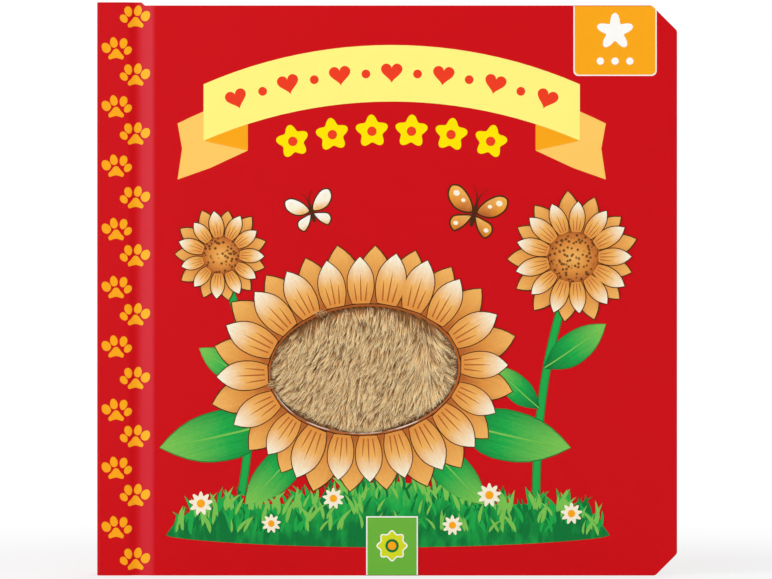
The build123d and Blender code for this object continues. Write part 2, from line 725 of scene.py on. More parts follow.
@dataclass(frozen=True)
class WrapBoard(Finish):
    """The spine wrap: print on all that faces out, pale pulp at its ends, at the hinge and inside."""

    skin: float = 1.3
    end_span: Point = (0.45, 0.6)
    hinge_span: Point = (0.6, 0.75)
    off_face: Point = (0.01, 0.08)
    off_spine: Point = (0.92, 0.99)

    def paint(self, board: NodeBoard) -> None:
        """Lays out the print, with its film dulled and its ink darkened as painted shade along the spine's
        rounded edges, and the cut board.

        Args:
            board: The material's nodes.
        """
        place = board.place()
        across, _, up = board.facing()
        from_spine, depth, _ = board.split(place)
        under_face = board.math("LESS_THAN", board.math("ABSOLUTE", depth), (BOOK.back_y - self.skin) * MM)
        under_spine = board.math("GREATER_THAN", from_spine, (BOOK.spine_x + self.skin) * MM)
        cut = board.math("MULTIPLY", under_face, under_spine)
        cut = board.math("MAXIMUM", cut, board.spread(board.math("ABSOLUTE", up), *self.end_span))
        cut = board.math("MAXIMUM", cut, board.spread(across, *self.hinge_span))
        side = board.math("ABSOLUTE", across)
        off_spine = board.spread(side, *self.off_spine, 1.0, 0.0)
        rubbed_and_shaded = board.math("MINIMUM", board.spread(side, *self.off_face), off_spine)
        # Painted shade: a darker red along the spine's rounded edges tones down the lamps' light on the
        # curve.
        ink = board.mix(rubbed_and_shaded, FILM.field(board, place, Ink.COVER_RED), Ink.WORN_RED)
        FILM.lay(board, board.mix(cut, ink, STOCK.core(board, place)), place, rubbed_and_shaded)


@dataclass(frozen=True)
class PageBoard(Finish):
    """Pages and liner: coated cream faces, cut edges of pulp with the glue line of each leaf."""

    first_y: float
    leaf: float = 2.7
    pitch: float = 3.0
    glue_line: float = 0.07
    glue_share: float = 0.55
    face_span: Point = (0.4, 0.6)

    def paint(self, board: NodeBoard) -> None:
        """Lays out the faces and the cut edges.

        Args:
            board: The material's nodes.
        """
        place = board.place()
        _, facing, _ = board.facing()
        face = board.spread(board.math("ABSOLUTE", facing), *self.face_span)
        _, depth, _ = board.split(place)
        offset = board.math("SUBTRACT", depth, (self.first_y + self.leaf / 2 - self.pitch / 2) * MM)
        through = board.math("MODULO", offset, self.pitch * MM)
        off_middle = board.math("ABSOLUTE", board.math("SUBTRACT", through, self.pitch / 2 * MM))
        line = board.spread(off_middle, 0.0, self.glue_line * MM, self.glue_share, 0.0)
        core = board.mix(line, STOCK.core(board, place), Ink.BOARD_GREY)
        roughness = board.spread(face, 0.0, 1.0, STOCK.core_roughness, STOCK.paper_roughness)
        STOCK.lay(board, board.mix(face, core, STOCK.paper(board, place)), roughness, place)


@dataclass(frozen=True)
class BentBoard(Finish):
    """Cut board or page paper on a piece that bends, patterned on its print map."""

    paper: bool

    def paint(self, board: NodeBoard) -> None:
        """Lays out the board or the paper.

        Args:
            board: The material's nodes.
        """
        place = board.surface()
        if self.paper:
            STOCK.lay(board, STOCK.paper(board, place), STOCK.paper_roughness, place)
        else:
            STOCK.lay(board, STOCK.core(board, place), STOCK.core_roughness, place)


@dataclass(frozen=True)
class FurFibre(Finish):
    """Tan acrylic fibre: dark at the root, pale at the tip, each strand with its own tone; the dark root also
    paints the shade deep in the pile.
    """

    stops: tuple[tuple[float, Ink], ...] = (
        (0.0, Ink.FUR_ROOT),
        (0.3, Ink.FUR_SHADE),
        (0.62, Ink.FUR_TAN),
        (1.0, Ink.FUR_TIP),
    )
    dark_below: float = 0.52
    darkest: float = 0.9
    pale_above: float = 0.6
    palest: float = 0.6
    roughness: float = 0.62
    shine: float = 0.25
    sheen: float = 0.15

    def paint(self, board: NodeBoard) -> None:
        """Lays out the fibre's colour along its length and by its tone, both on the print map.

        Args:
            board: The material's nodes.
        """
        tone, along, _ = board.split(board.surface())
        darker = board.spread(tone, 0.0, self.dark_below, self.darkest, 0.0)
        lighter = board.spread(tone, self.pale_above, 1.0, 0.0, self.palest)
        colour = board.mix(darker, board.ramp(along, self.stops), Ink.FUR_DARK)
        board.shade(board.mix(lighter, colour, Ink.FUR_TIP), self.roughness, self.shine)
        board.set("Sheen Weight", self.sheen)


@dataclass(frozen=True)
class FurBacking(Finish):
    """Knitted backing of the fur, in a dark tan."""

    rib_grain: float = 330.0
    rib_waver: float = 2.5
    tuft_grain: float = 700.0
    roughness: float = 0.95
    shine: float = 0.1
    relief: float = 0.5
    relief_depth_m: float = 0.0002

    def paint(self, board: NodeBoard) -> None:
        """Lays out the knit.

        Args:
            board: The material's nodes.
        """
        place = board.place()
        feeds = {"Vector": place, "Scale": self.rib_grain, "Distortion": self.rib_waver}
        ribs = board.node("TexWave", feeds, wave_type="BANDS", bands_direction="DIAGONAL").outputs["Fac"]
        share = board.math("MULTIPLY", ribs, board.noise(place, self.tuft_grain, detail=3.0))
        board.shade(board.mix(share, Ink.FUR_ROOT, Ink.FUR_SHADE), self.roughness, self.shine)
        board.relief(share, self.relief, self.relief_depth_m)


# Bench work

INK_STEP = 0.02
INK_SINK = 0.06


def deselect_all() -> None:
    """Leaves nothing selected, so that an operator acts only on what is added next."""
    bpy.ops.object.select_all(action="DESELECT")


def take(piece: Piece) -> None:
    """Makes a piece the only selected and active one.

    Args:
        piece: The piece.
    """
    deselect_all()
    piece.select_set(True)
    bpy.context.view_layer.objects.active = piece


@contextmanager
def edit_mode(piece: Piece) -> Iterator[None]:
    """Holds a piece in edit mode, with all of it selected at first.

    Args:
        piece: The piece.

    Yields:
        Nothing.
    """
    take(piece)
    bpy.ops.object.mode_set(mode="EDIT")
    bpy.ops.mesh.select_all(action="SELECT")
    yield
    bpy.ops.object.mode_set(mode="OBJECT")


def thicken(sheet: Piece, run: float) -> None:
    """Extrudes a sheet along Y and leaves the new face selected."""
    with edit_mode(sheet):
        bpy.ops.mesh.extrude_region_move(TRANSFORM_OT_translate={"value": (0.0, run * MM, 0.0)})


def turn_outwards(piece: Piece) -> None:
    """Makes the faces of a closed piece point outwards."""
    with edit_mode(piece):
        bpy.ops.mesh.normals_make_consistent(inside=False)


def set_print_map(piece: Piece, spots: Outline) -> None:
    """Gives a piece its print map.

    Args:
        piece: The piece.
        spots: Where each of its vertices lies on the map.
    """
    for layer in list(piece.data.uv_layers):
        piece.data.uv_layers.remove(layer)
    print_map = piece.data.uv_layers.new(name=PRINT_MAP)
    for loop in piece.data.loops:
        print_map.data[loop.index].uv = spots[loop.vertex_index]


def flat_cut(outline: Outline) -> Piece:
    """Cuts a flat shape, upright in the plane of the cover at its own origin.

    Its print map runs from -1 to 1 across the shape and from 0 to 1 up it.

    Args:
        outline: Its outline in u and v.

    Returns:
        The shape, one flat face.
    """
    deselect_all()
    bpy.ops.mesh.primitive_circle_add(vertices=len(outline), radius=MM, fill_type="NGON")
    shape = bpy.context.object
    for vertex, (u, v) in zip(shape.data.vertices, outline):
        vertex.co = (u * MM, 0.0, v * MM)
    half_width = max(abs(u) for u, _ in outline)
    low = min(v for _, v in outline)
    height = max(v for _, v in outline) - low
    set_print_map(shape, [(u / half_width, (v - low) / height) for u, v in outline])
    return shape


def join(name: str, shapes: Sequence[Piece]) -> Piece:
    """Joins shapes into one piece.

    Args:
        name: The piece's name.
        shapes: What is joined.

    Returns:
        The piece.
    """
    take(shapes[0])
    for shape in shapes:
        shape.select_set(True)
    if len(shapes) > 1:
        bpy.ops.object.join()
    piece = bpy.context.view_layer.objects.active
    piece.name = name
    piece.data.name = name
    return piece


@dataclass(frozen=True)
class Place:
    """Where a copy of a pattern lies on the cover.

    The turn is in radians, anticlockwise as seen from the front, and a flip mirrors the copy left to right
    before that. The lift is how far it lies in front of its sheet, which keeps copies that overlap apart.
    """

    u: float = 0.0
    v: float = 0.0
    turn: float = 0.0
    scale: float = 1.0
    flip: bool = False
    lift: float = 0.0


def stamp(outlines: Sequence[Outline], places: Iterable[Place] = (Place(),)) -> list[Piece]:
    """Cuts flat shapes into one pattern and copies it to its places, each copy with a mesh of its own.

    Args:
        outlines: Outlines of the shapes.
        places: The places, unless the outlines already lie in the cover's u and v.

    Returns:
        The copies.
    """
    pattern = join("pattern", [flat_cut(outline) for outline in outlines])
    copies = []
    for place in places:
        copy = bpy.data.objects.new(pattern.name, pattern.data.copy())
        bpy.context.scene.collection.objects.link(copy)
        width = -place.scale if place.flip else place.scale
        stretch = Matrix.Diagonal((width, place.scale, place.scale, 1.0))
        shift = Matrix.Translation(((BOOK.spine_x + place.u) * MM, -place.lift * MM, place.v * MM))
        copy.data.transform(shift @ Matrix.Rotation(-place.turn, 4, "Y") @ stretch)
        copies.append(copy)
    bpy.data.objects.remove(pattern)
    return copies


def press(sheet: Piece, layer: Layer, depth: Callable[[float], float] | None = None) -> None:
    """Presses a flat sheet on the front cover as a closed film of ink.

    Args:
        sheet: Flat faces in the plane of the cover.
        layer: Which film it is, which sets how far it stands out.
        depth: Depth of the cover's face at a distance across from the crease, where it isn't flat.
    """
    lift = layer * INK_STEP
    for vertex in sheet.data.vertices:
        drop = depth(vertex.co.x / MM - BOOK.crease_x) if depth else 0.0
        vertex.co.y += (BOOK.front_y + drop - lift) * MM
    thicken(sheet, lift + INK_SINK)
    turn_outwards(sheet)


def dress(piece: Piece, *materials: bpy.types.Material) -> None:
    """Gives a piece its materials, in slot order.

    Args:
        piece: The piece.
        *materials: The materials.
    """
    if len(piece.data.materials):
        piece.data.materials.clear()
    for material in materials:
        piece.data.materials.append(material)


def print_film(name: str, shapes: Sequence[Piece], layer: Layer, finish: Finish | Ink) -> None:
    """Joins flat shapes into one film of print that moves with the front cover.

    Args:
        name: The film's name.
        shapes: The shapes in their places, which are used up.
        layer: Which film it is.
        finish: Its paint, or its ink where it is one plain field.
    """
    film = join(name, shapes)
    press(film, layer)
    paint = PrintInk(finish) if isinstance(finish, Ink) else finish
    dress(film, paint.material(name))
    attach(film, Side.FRONT.body)
    LOG.info("%s: %d faces on %s", name, len(film.data.polygons), Side.FRONT.body)


# Outlines


def smooth_loop(points: Outline, steps: int = 6) -> list[Point]:
    """Rounds a closed outline into a smooth curve through its points.

    Args:
        points: Points of the outline, in order.
        steps: Parts that each stretch is divided into.

    Returns:
        The points of the curve.
    """
    count = len(points)
    curve = []
    for index in range(count):
        before, start, end, after = (Vector(points[(index + k) % count]) for k in (-1, 0, 1, 2))
        for step in range(steps):
            t = step / steps
            spot = 0.5 * (
                2 * start
                + (end - before) * t
                + (2 * before - 5 * start + 4 * end - after) * t**2
                + (3 * start - before - 3 * end + after) * t**3
            )
            curve.append((spot.x, spot.y))
    return curve


def round_turns(count: int) -> list[float]:
    """Even steps of a full turn, in radians."""
    return [math.tau * index / count for index in range(count)]


def egg(half_width: float, half_height: float, taper: float = 0.0, points: int = 28) -> list[Point]:
    """Outline of an egg, whose top is narrower and bottom wider by the share taper."""
    rounds = [(math.cos(turn), math.sin(turn)) for turn in round_turns(points)]
    return [(half_width * u * (1 - taper * v), half_height * v) for u, v in rounds]


def dot(radius: float) -> list[Point]:
    """Outline of a round dot."""
    return egg(radius, radius)


def lobes(radius: float, count: int, depth: float, points: int = 60) -> list[Point]:
    """Outline of a soft star or blossom.

    Args:
        radius: Reach of its lobes.
        count: How many lobes.
        depth: How deep the hollows are, as a share of the radius.
        points: How many points the outline has.

    Returns:
        The outline.
    """
    outline = []
    for turn in round_turns(points):
        reach = radius * (1 - depth * (0.5 - 0.5 * math.cos(count * turn)))
        outline.append((-reach * math.sin(turn), reach * math.cos(turn)))
    return outline


def heart(size: float, points: int = 40) -> list[Point]:
    """Outline of a heart, drawn as the usual curve of cosines, 32 units wide.

    Args:
        size: Its width.
        points: How many points the outline has.

    Returns:
        The outline.
    """
    unit = size / 32
    outline = []
    for turn in round_turns(points):
        across = 16 * math.sin(turn) ** 3
        up = 13 * math.cos(turn) - 5 * math.cos(2 * turn) - 2 * math.cos(3 * turn) - math.cos(4 * turn)
        outline.append((across * unit, (up + 2.5) * unit))
    return outline


def moved(outline: Outline, u: float, v: float, turn: float = 0.0) -> list[Point]:
    """Turns an outline about its origin, in radians anticlockwise, and moves it by u and v."""
    cosine, sine = math.cos(turn), math.sin(turn)
    return [(u + x * cosine - y * sine, v + x * sine + y * cosine) for x, y in outline]


def grown(outline: Outline, by: float) -> list[Point]:
    """Moves a smooth outline outwards along its normals.

    Args:
        outline: The outline, anticlockwise or clockwise.
        by: How far.

    Returns:
        The larger outline.
    """
    points = np.array(outline)
    along = np.roll(points, -1, axis=0) - np.roll(points, 1, axis=0)
    normal = np.stack([along[:, 1], -along[:, 0]], axis=1)
    normal /= np.linalg.norm(normal, axis=1)[:, None]
    area = np.sum(points[:, 0] * np.roll(points[:, 1], -1) - np.roll(points[:, 0], -1) * points[:, 1])
    return [tuple(point) for point in points + normal * by * np.sign(area)]


@dataclass(frozen=True)
class Frond:
    """Outline of a petal, a leaf or a blade of grass that grows up from its origin."""

    length: float
    half_width: float
    base: float = 0.6
    widest: float = 0.4
    bend: float = 0.0
    steps: int = 10
    taper: float = 1.4

    def outline(self) -> list[Point]:
        """Draws the outline from the right of the base round the tip.

        Returns:
            The points.
        """
        right, left = [], []
        for step in range(self.steps):
            share = step / self.steps
            half = self.half_width * self._width(share)
            middle, up = self._spine(share)
            right.append((middle + half, up))
            left.append((middle - half, up))
        return [*right, self._spine(1.0), *reversed(left)]

    def _spine(self, share: float) -> Point:
        """The middle line at a share of the length."""
        return self.bend * self.length * share**2, self.length * share

    def _width(self, share: float) -> float:
        """Half width at a share of the length, as a share of the widest.

        Args:
            share: The share of the length.

        Returns:
            The share of the widest.
        """
        if share < self.widest:
            return self.base + (1 - self.base) * math.sin(math.pi / 2 * share / self.widest)
        return math.cos(math.pi / 2 * ((share - self.widest) / (1 - self.widest)) ** self.taper)


def line_of(length: float, half_width: float, bend: float = 0.0) -> list[Point]:
    """Outline of a thin stroke that narrows from its base to its tip."""
    return Frond(length, half_width, base=1.0, widest=0.0, bend=bend).outline()


def ease(value: Array | float, start: float, end: float) -> Array:
    """Rises smoothly from 0 at start to 1 at end, which may lie on either side of the start."""
    share = np.clip((value - start) / (end - start), 0.0, 1.0)
    return share * share * (3 - 2 * share)


# Boards and hinges


@dataclass
class Boards:
    """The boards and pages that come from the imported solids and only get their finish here."""

    liner: float = 1.2
    liner_pitch: float = 20.0

    def build(self) -> None:
        """Dresses each board with its own material."""
        finishes = {
            "front_cover_board": CoverBoard(Side.FRONT, windowed=True),
            "back_cover_board": CoverBoard(Side.BACK),
            "spine_wrap": WrapBoard(),
            "front_liner_board": PageBoard(first_y=BOOK.liner_y, leaf=self.liner, pitch=self.liner_pitch),
            "page_block": PageBoard(first_y=BOOK.pages_front_y),
        }
        for node, finish in finishes.items():
            dress(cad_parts[node], finish.material(node))
            LOG.info("%s: dressed", node)


@dataclass(frozen=True)
class CreaseProfile:
    """Outer line of a pressed hinge crease, as depth under the cover's face.

    Distances across run from the lowest line, negative towards the spine. The sheen lines are where the
    painted sheen on the film starts, is full, fades and ends; bend_half, the width that the bend takes up to
    each side, is not used.
    """

    depth: float = 0.34
    strip_side: float = 2.6
    strip_fall: float = 2.4
    foot_round: float = 4.2
    wall_end: float = 5.2
    top_round: float = 1.0
    haze_lines: tuple[float, float, float, float] = (-0.2, 2.4, 4.4, 5.9)
    bend_half: float = 1.4

    @property
    def panel_side(self) -> float:
        """Width of the crease on the panel's side."""
        return self.wall_end + self.top_round

    def at(self, across: float) -> float:
        """Depth under the face.

        Args:
            across: Distance from the lowest line.

        Returns:
            The depth.
        """
        if not -self.strip_side < across < self.panel_side:
            return 0.0
        if across < 0:
            share = min(-across / self.strip_fall, 1.0)
            return self.depth * 0.5 * (1 + math.cos(math.pi * share))
        slope = self.depth / (self.wall_end - self.foot_round / 2)
        if across < self.foot_round:
            return self.depth - slope * across**2 / (2 * self.foot_round)
        if across < self.wall_end - self.top_round:
            return slope * (self.wall_end - across)
        return slope * (self.panel_side - across) ** 2 / (4 * self.top_round)


CREASE = CreaseProfile()


def bend_with(piece: Piece, side: Side) -> None:
    """Applies a piece's placement to its mesh; the piece lies across the crease between the pages and a
    cover.

    Args:
        piece: The piece.
        side: The cover.
    """
    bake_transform(piece)
    LOG.info("%s: %d faces, blended from pages to %s", piece.name, len(piece.data.polygons), side.body)


def map_at_rest(piece: Piece) -> None:
    """Keeps each vertex's place at rest in the print map of a piece that bends."""
    set_print_map(piece, [(vertex.co.x, vertex.co.z) for vertex in piece.data.vertices])


class CreaseFace(IntEnum):
    """Faces of a crease piece, by their material slot."""

    PRINT = 0
    CORE = 1
    LINING = 2


@dataclass
class HingeCrease:
    """The width of board that bends at a cover's hinge, from the wrap's strip to the panel."""

    side: Side
    face_y: float
    inside_y: float
    haze: float
    columns: int = 56
    end_tuck: float = 0.3
    tuck_depth: float = 0.015
    lining_proud: float = 0.03
    lining_reach: float = 2.0
    head_flat: float = 1.5
    head_run: float = 1.4
    end_inset: float = 0.03
    smooth_deg: float = 40.0

    def build(self) -> None:
        """Models the crease, dresses it and applies its placement to its mesh."""
        piece = self._outer_sheet()
        self._close(piece)
        map_at_rest(piece)
        # The crease's print is paled towards pink along its wall, a painted sheen.
        print_ink = PrintInk(Ink.COVER_RED, Carrier.MAP, haze=self.haze, sheen_ink=Ink.HAZE_PINK)
        dress(
            piece,
            print_ink.material(f"{piece.name}_print"),
            BentBoard(paper=False).material(f"{piece.name}_core"),
            BentBoard(paper=True).material(f"{piece.name}_lining"),
        )
        bend_with(piece, self.side)

    def _outer_sheet(self) -> Piece:
        """Lays a grid along the crease and presses it to the crease's line.

        Its head edge eases from the wrap's height down to the panel's.

        Returns:
            The outer sheet.
        """
        low = -CREASE.strip_side - self.end_tuck
        high = CREASE.panel_side + self.end_tuck
        deselect_all()
        bpy.ops.mesh.primitive_grid_add(x_subdivisions=self.columns, y_subdivisions=1, size=1.0)
        piece = bpy.context.object
        piece.name = f"{self.side.body}_crease"
        piece.data.name = piece.name
        for vertex in piece.data.vertices:
            across = low + (high - low) * (vertex.co.x + 0.5)
            beyond = max(-CREASE.strip_side - across, across - CREASE.panel_side, 0.0)
            drop = CREASE.at(across) + self.tuck_depth * beyond / self.end_tuck
            eased = float(ease(across, self.head_flat, self.head_flat + self.head_run))
            head = BOOK.wrap_head_z + (BOOK.head_z - BOOK.wrap_head_z) * eased
            height = head - self.end_inset if vertex.co.y > 0 else self.end_inset
            depth_y = self.face_y - self.side.outward * drop
            vertex.co = ((BOOK.crease_x + across) * MM, depth_y * MM, height * MM)
        return piece

    def _close(self, piece: Piece) -> None:
        """Thickens the sheet to the cover's inside face and sorts its faces by material.

        Args:
            piece: The outer sheet.
        """
        thicken(piece, self.inside_y - self.face_y)
        for vertex in piece.data.vertices:
            if vertex.select:
                across = vertex.co.x / MM - BOOK.crease_x
                proud = self.lining_proud if across < self.lining_reach else -2 * self.lining_proud
                vertex.co.y = (self.inside_y - self.side.outward * proud) * MM
        for face in piece.data.polygons:
            inner = sum(piece.data.vertices[index].select for index in face.vertices)
            whole = {0: CreaseFace.PRINT, len(face.vertices): CreaseFace.LINING}
            face.material_index = whole.get(inner, CreaseFace.CORE)
        turn_outwards(piece)
        bpy.ops.object.shade_smooth_by_angle(angle=math.radians(self.smooth_deg))


# Cover print


@dataclass
class PawStrip:
    """Two columns of paw prints beside the spine, the inner one lying in the crease.

    A toe is its middle, its half width and height, its lean in degrees and its taper.
    """

    toes: tuple[tuple[float, float, float, float, float, float], ...] = (
        (-3.15, 0.18, 1.30, 1.60, 34.0, 0.10),
        (-0.87, 1.78, 1.13, 1.58, 12.0, 0.12),
        (1.99, 1.48, 1.13, 1.56, -14.0, -0.12),
        (3.33, -0.64, 1.04, 1.36, -40.0, -0.05),
    )
    pad_axis: float = -0.18
    pad_half: tuple[Point, ...] = (
        (0.0, -0.10), (0.52, -0.25), (0.92, -0.68), (1.42, -1.38), (2.14, -2.14),
        (2.32, -2.68), (1.92, -3.30), (1.05, -3.08), (0.0, -2.84),
    )
    inner_u: float = 11.35
    outer_u: float = 5.9
    first_v: float = 166.7
    lowest_v: float = 3.0
    tile: float = 53.9
    tile_count: int = 4
    inner_rows: tuple[float, ...] = (0.0, 17.3, 34.9)
    outer_rows: tuple[float, ...] = (9.5, 26.8, 44.5)
    score_step: float = 0.35
    haze: float = 0.2
    smooth_deg: float = 30.0

    def build(self) -> None:
        """Prints the paws, scored along the crease so that they can follow its hollow."""
        prints = join("paw_prints", stamp(self._paw(), self._places()))
        with edit_mode(prints):
            for across in np.arange(-CREASE.strip_side, CREASE.panel_side + self.score_step, self.score_step):
                bpy.ops.mesh.select_all(action="SELECT")
                line_x = (BOOK.crease_x + float(across)) * MM
                bpy.ops.mesh.bisect(plane_co=(line_x, 0.0, 0.0), plane_no=(1.0, 0.0, 0.0))
        press(prints, Layer.GROUND, CREASE.at)
        map_at_rest(prints)
        take(prints)
        bpy.ops.object.shade_smooth_by_angle(angle=math.radians(self.smooth_deg))
        # Painted sheen: the paws on the crease's wall are paled towards a pale yellow.
        ink = PrintInk(Ink.PAW_ORANGE, Carrier.MAP, haze=self.haze, sheen_ink=Ink.HAZE_YELLOW)
        dress(prints, ink.material("paw_prints"))
        bend_with(prints, Side.FRONT)

    def _places(self) -> list[Place]:
        """Where the paws stand: the same rows in each tile, down to the tail.

        Returns:
            The places, the inner column's mirrored.
        """
        places = []
        tops = [self.first_v - tile * self.tile for tile in range(self.tile_count)]
        for u, rows, flip in ((self.inner_u, self.inner_rows, True), (self.outer_u, self.outer_rows, False)):
            heights = [top - row for top in tops for row in rows]
            places += [Place(u, v, flip=flip) for v in heights if v > self.lowest_v]
        return places

    def _paw(self) -> list[list[Point]]:
        """Outlines of one paw: four toes and a pad.

        Returns:
            The outlines.
        """
        toes = [
            moved(egg(half_width, half_height, taper), u, v, math.radians(lean))
            for u, v, half_width, half_height, lean, taper in self.toes
        ]
        right = [(self.pad_axis + u, v) for u, v in self.pad_half]
        left = [(self.pad_axis - u, v) for u, v in reversed(self.pad_half[1:-1])]
        return [*toes, smooth_loop(right + left)]


@dataclass
class RibbonBanner:
    """Arched ribbon near the head, with folded tails, a row of small motifs on it and a row under it.

    The outlines of the left tail and fold run from the band's lower corner.
    """

    middle_u: float = 87.9
    half_span: float = 56.1
    shoulder_v: float = 146.5
    rise: float = 11.7
    band: float = 16.85
    steps: int = 24
    tail: tuple[Point, ...] = (
        (-7.75, -11.55), (2.0, -8.1), (13.2, -2.9), (13.2, 5.0),
        (0.0, 8.75), (-4.0, 6.95), (-7.75, 5.15), (-6.4, -2.35),
    )
    fold: tuple[Point, ...] = ((0.0, 0.0), (13.2, -2.9), (13.2, 6.0), (0.0, 1.0))
    motif_count: int = 13
    motif_pitch: float = 7.7
    heart_size: float = 6.4
    dot_radius: float = 1.3
    title_count: int = 6
    title_pitch: float = 11.8
    title_drop: float = 25.6
    title_radius: float = 5.0
    title_petals: int = 5
    title_hollow: float = 0.34
    title_eye: float = 0.28

    def build(self) -> None:
        """Prints the ribbon, its tails and folds, and both rows."""
        corner_v = self.shoulder_v - self.band
        left = Place(self.middle_u - self.half_span, corner_v)
        right = Place(self.middle_u + self.half_span, corner_v, flip=True)
        print_film("ribbon_tails", stamp([self.tail], [left, right]), Layer.GROUND, Ink.RIBBON_TAIL)
        print_film("ribbon_folds", stamp([self.fold], [left, right]), Layer.GROUND_TONE, Ink.RIBBON_FOLD)
        spots = [self.half_span * (2 * step / self.steps - 1) for step in range(self.steps + 1)]
        lower = [(across, self._arc(across) - self.band) for across in spots]
        upper = [(across, self._arc(across)) for across in reversed(spots)]
        band = stamp([lower + upper], [Place(self.middle_u, self.shoulder_v)])
        print_film("ribbon_band", band, Layer.DETAIL, Ink.RIBBON_YELLOW)
        row = self._row(self.motif_count, self.motif_pitch, self.band / 2)
        motifs = stamp([heart(self.heart_size)], row[0::2]) + stamp([dot(self.dot_radius)], row[1::2])
        print_film("ribbon_motifs", motifs, Layer.DETAIL_TONE, Ink.MOTIF_RED)
        row = self._row(self.title_count, self.title_pitch, self.title_drop)
        blossoms = stamp([lobes(self.title_radius, self.title_petals, self.title_hollow)], row)
        print_film("title_blossoms", blossoms, Layer.DETAIL, Ink.TITLE_YELLOW)
        eyes = stamp([dot(self.title_radius * self.title_eye)], row)
        print_film("title_eyes", eyes, Layer.DETAIL_TONE, Ink.MOTIF_RED)

    @property
    def radius(self) -> float:
        """Radius of the ribbon's arc."""
        return (self.half_span**2 + self.rise**2) / (2 * self.rise)

    def _arc(self, across: float) -> float:
        """Height of the ribbon's arc above its shoulders, at a distance from its middle."""
        return math.sqrt(self.radius**2 - across**2) - (self.radius - self.rise)

    def _row(self, count: int, pitch: float, drop: float) -> list[Place]:
        """Places in a row along the ribbon's arc, turned with it.

        Args:
            count: How many places.
            pitch: Distance between them.
            drop: How far the row lies under the arc.

        Returns:
            The places.
        """
        places = []
        for index in range(count):
            across = (index - (count - 1) / 2) * pitch
            v = self.shoulder_v + self._arc(across) - drop
            places.append(Place(self.middle_u + across, v, -math.asin(across / self.radius)))
        return places


@dataclass
class CornerBadge:
    """Orange badge at the head with a white edge, clipped by the board's cut corner."""

    left_u: float = 142.1
    right_u: float = 166.9
    foot_v: float = 149.0
    head_v: float = 169.8
    edge: float = 0.36
    corner: float = 1.5
    corner_steps: int = 6
    corner_cut: float = 7.5
    star_radius: float = 5.6
    star_points: int = 5
    star_hollow: float = 0.5
    star_rise: float = 13.2
    dot_radius: float = 1.1
    dot_rise: float = 4.4
    dot_pitch: float = 4.4

    def build(self) -> None:
        """Prints the badge, its edge and a plain star with dots."""
        print_film("badge_edge", stamp([self._outline(0.0)]), Layer.GROUND, Ink.WHITE)
        print_film("badge_field", stamp([self._outline(self.edge)]), Layer.GROUND_TONE, Ink.PAW_ORANGE)
        middle_u = (self.left_u + self.right_u) / 2
        star = lobes(self.star_radius, self.star_points, self.star_hollow)
        marks = stamp([star], [Place(middle_u, self.foot_v + self.star_rise)])
        row = [Place(middle_u + self.dot_pitch * step, self.foot_v + self.dot_rise) for step in (-1, 0, 1)]
        marks += stamp([dot(self.dot_radius)], row)
        print_film("badge_marks", marks, Layer.DETAIL, Ink.WHITE)

    def _outline(self, inset: float) -> list[Point]:
        """Outline of the badge: round corners at its foot, clipped at the cut corner.

        Args:
            inset: How far it lies inside the badge's edge.

        Returns:
            The outline in u and v.
        """
        left, right, foot = self.left_u + inset, self.right_u - inset, self.foot_v + inset
        radius = self.corner - inset / 2
        turns = [math.pi / 2 * step / self.corner_steps for step in range(self.corner_steps + 1)]
        quarter = [(radius - radius * math.cos(turn), radius - radius * math.sin(turn)) for turn in turns]
        left_foot = moved(quarter, left, foot)
        right_foot = [(right - across, foot + up) for across, up in reversed(quarter)]
        clip = BOOK.fore_x - BOOK.spine_x - self.corner_cut + BOOK.head_z
        head = [(right, clip - right), (clip - self.head_v, self.head_v), (left, self.head_v)]
        return left_foot + right_foot + head


@dataclass
class TailTab:
    """Green tab at the tail with a white edge and a plain blossom on it."""

    left_u: float = 80.3
    right_u: float = 95.7
    top_v: float = 17.7
    foot_v: float = 0.2
    edge: float = 0.38
    flower_v: float = 8.9
    flower_radius: float = 4.7
    petals: int = 8
    hollow: float = 0.2
    ring_radius: float = 2.0
    heart_radius: float = 1.25

    def build(self) -> None:
        """Prints the tab, its edge and the blossom."""
        print_film("tab_edge", stamp([self._outline(0.0)]), Layer.TOP, Ink.WHITE)
        print_film("tab_field", stamp([self._outline(self.edge)]), Layer.TOP_TONE, Ink.TAB_GREEN)
        petals = lobes(self.flower_radius, self.petals, self.hollow)
        marks = (
            ("tab_flower_edge", petals, Layer.TOP_MARK, Ink.WHITE),
            ("tab_flower", grown(petals, -self.edge), Layer.TOP_FLOWER, Ink.TAB_LIME),
            ("tab_flower_ring", dot(self.ring_radius), Layer.TOP_RING, Ink.LEAF_DARK),
            ("tab_flower_heart", dot(self.heart_radius), Layer.TOP_HEART, Ink.PAW_ORANGE),
        )
        middle = [Place((self.left_u + self.right_u) / 2, self.flower_v)]
        for name, outline, layer, ink in marks:
            print_film(name, stamp([outline], middle), layer, ink)

    def _outline(self, inset: float) -> list[Point]:
        """Outline of the tab, inside its edge by inset and open to the tail."""
        left, right, top = self.left_u + inset, self.right_u - inset, self.top_v - inset
        return [(left, self.foot_v), (right, self.foot_v), (right, top), (left, top)]


# Painted flowers


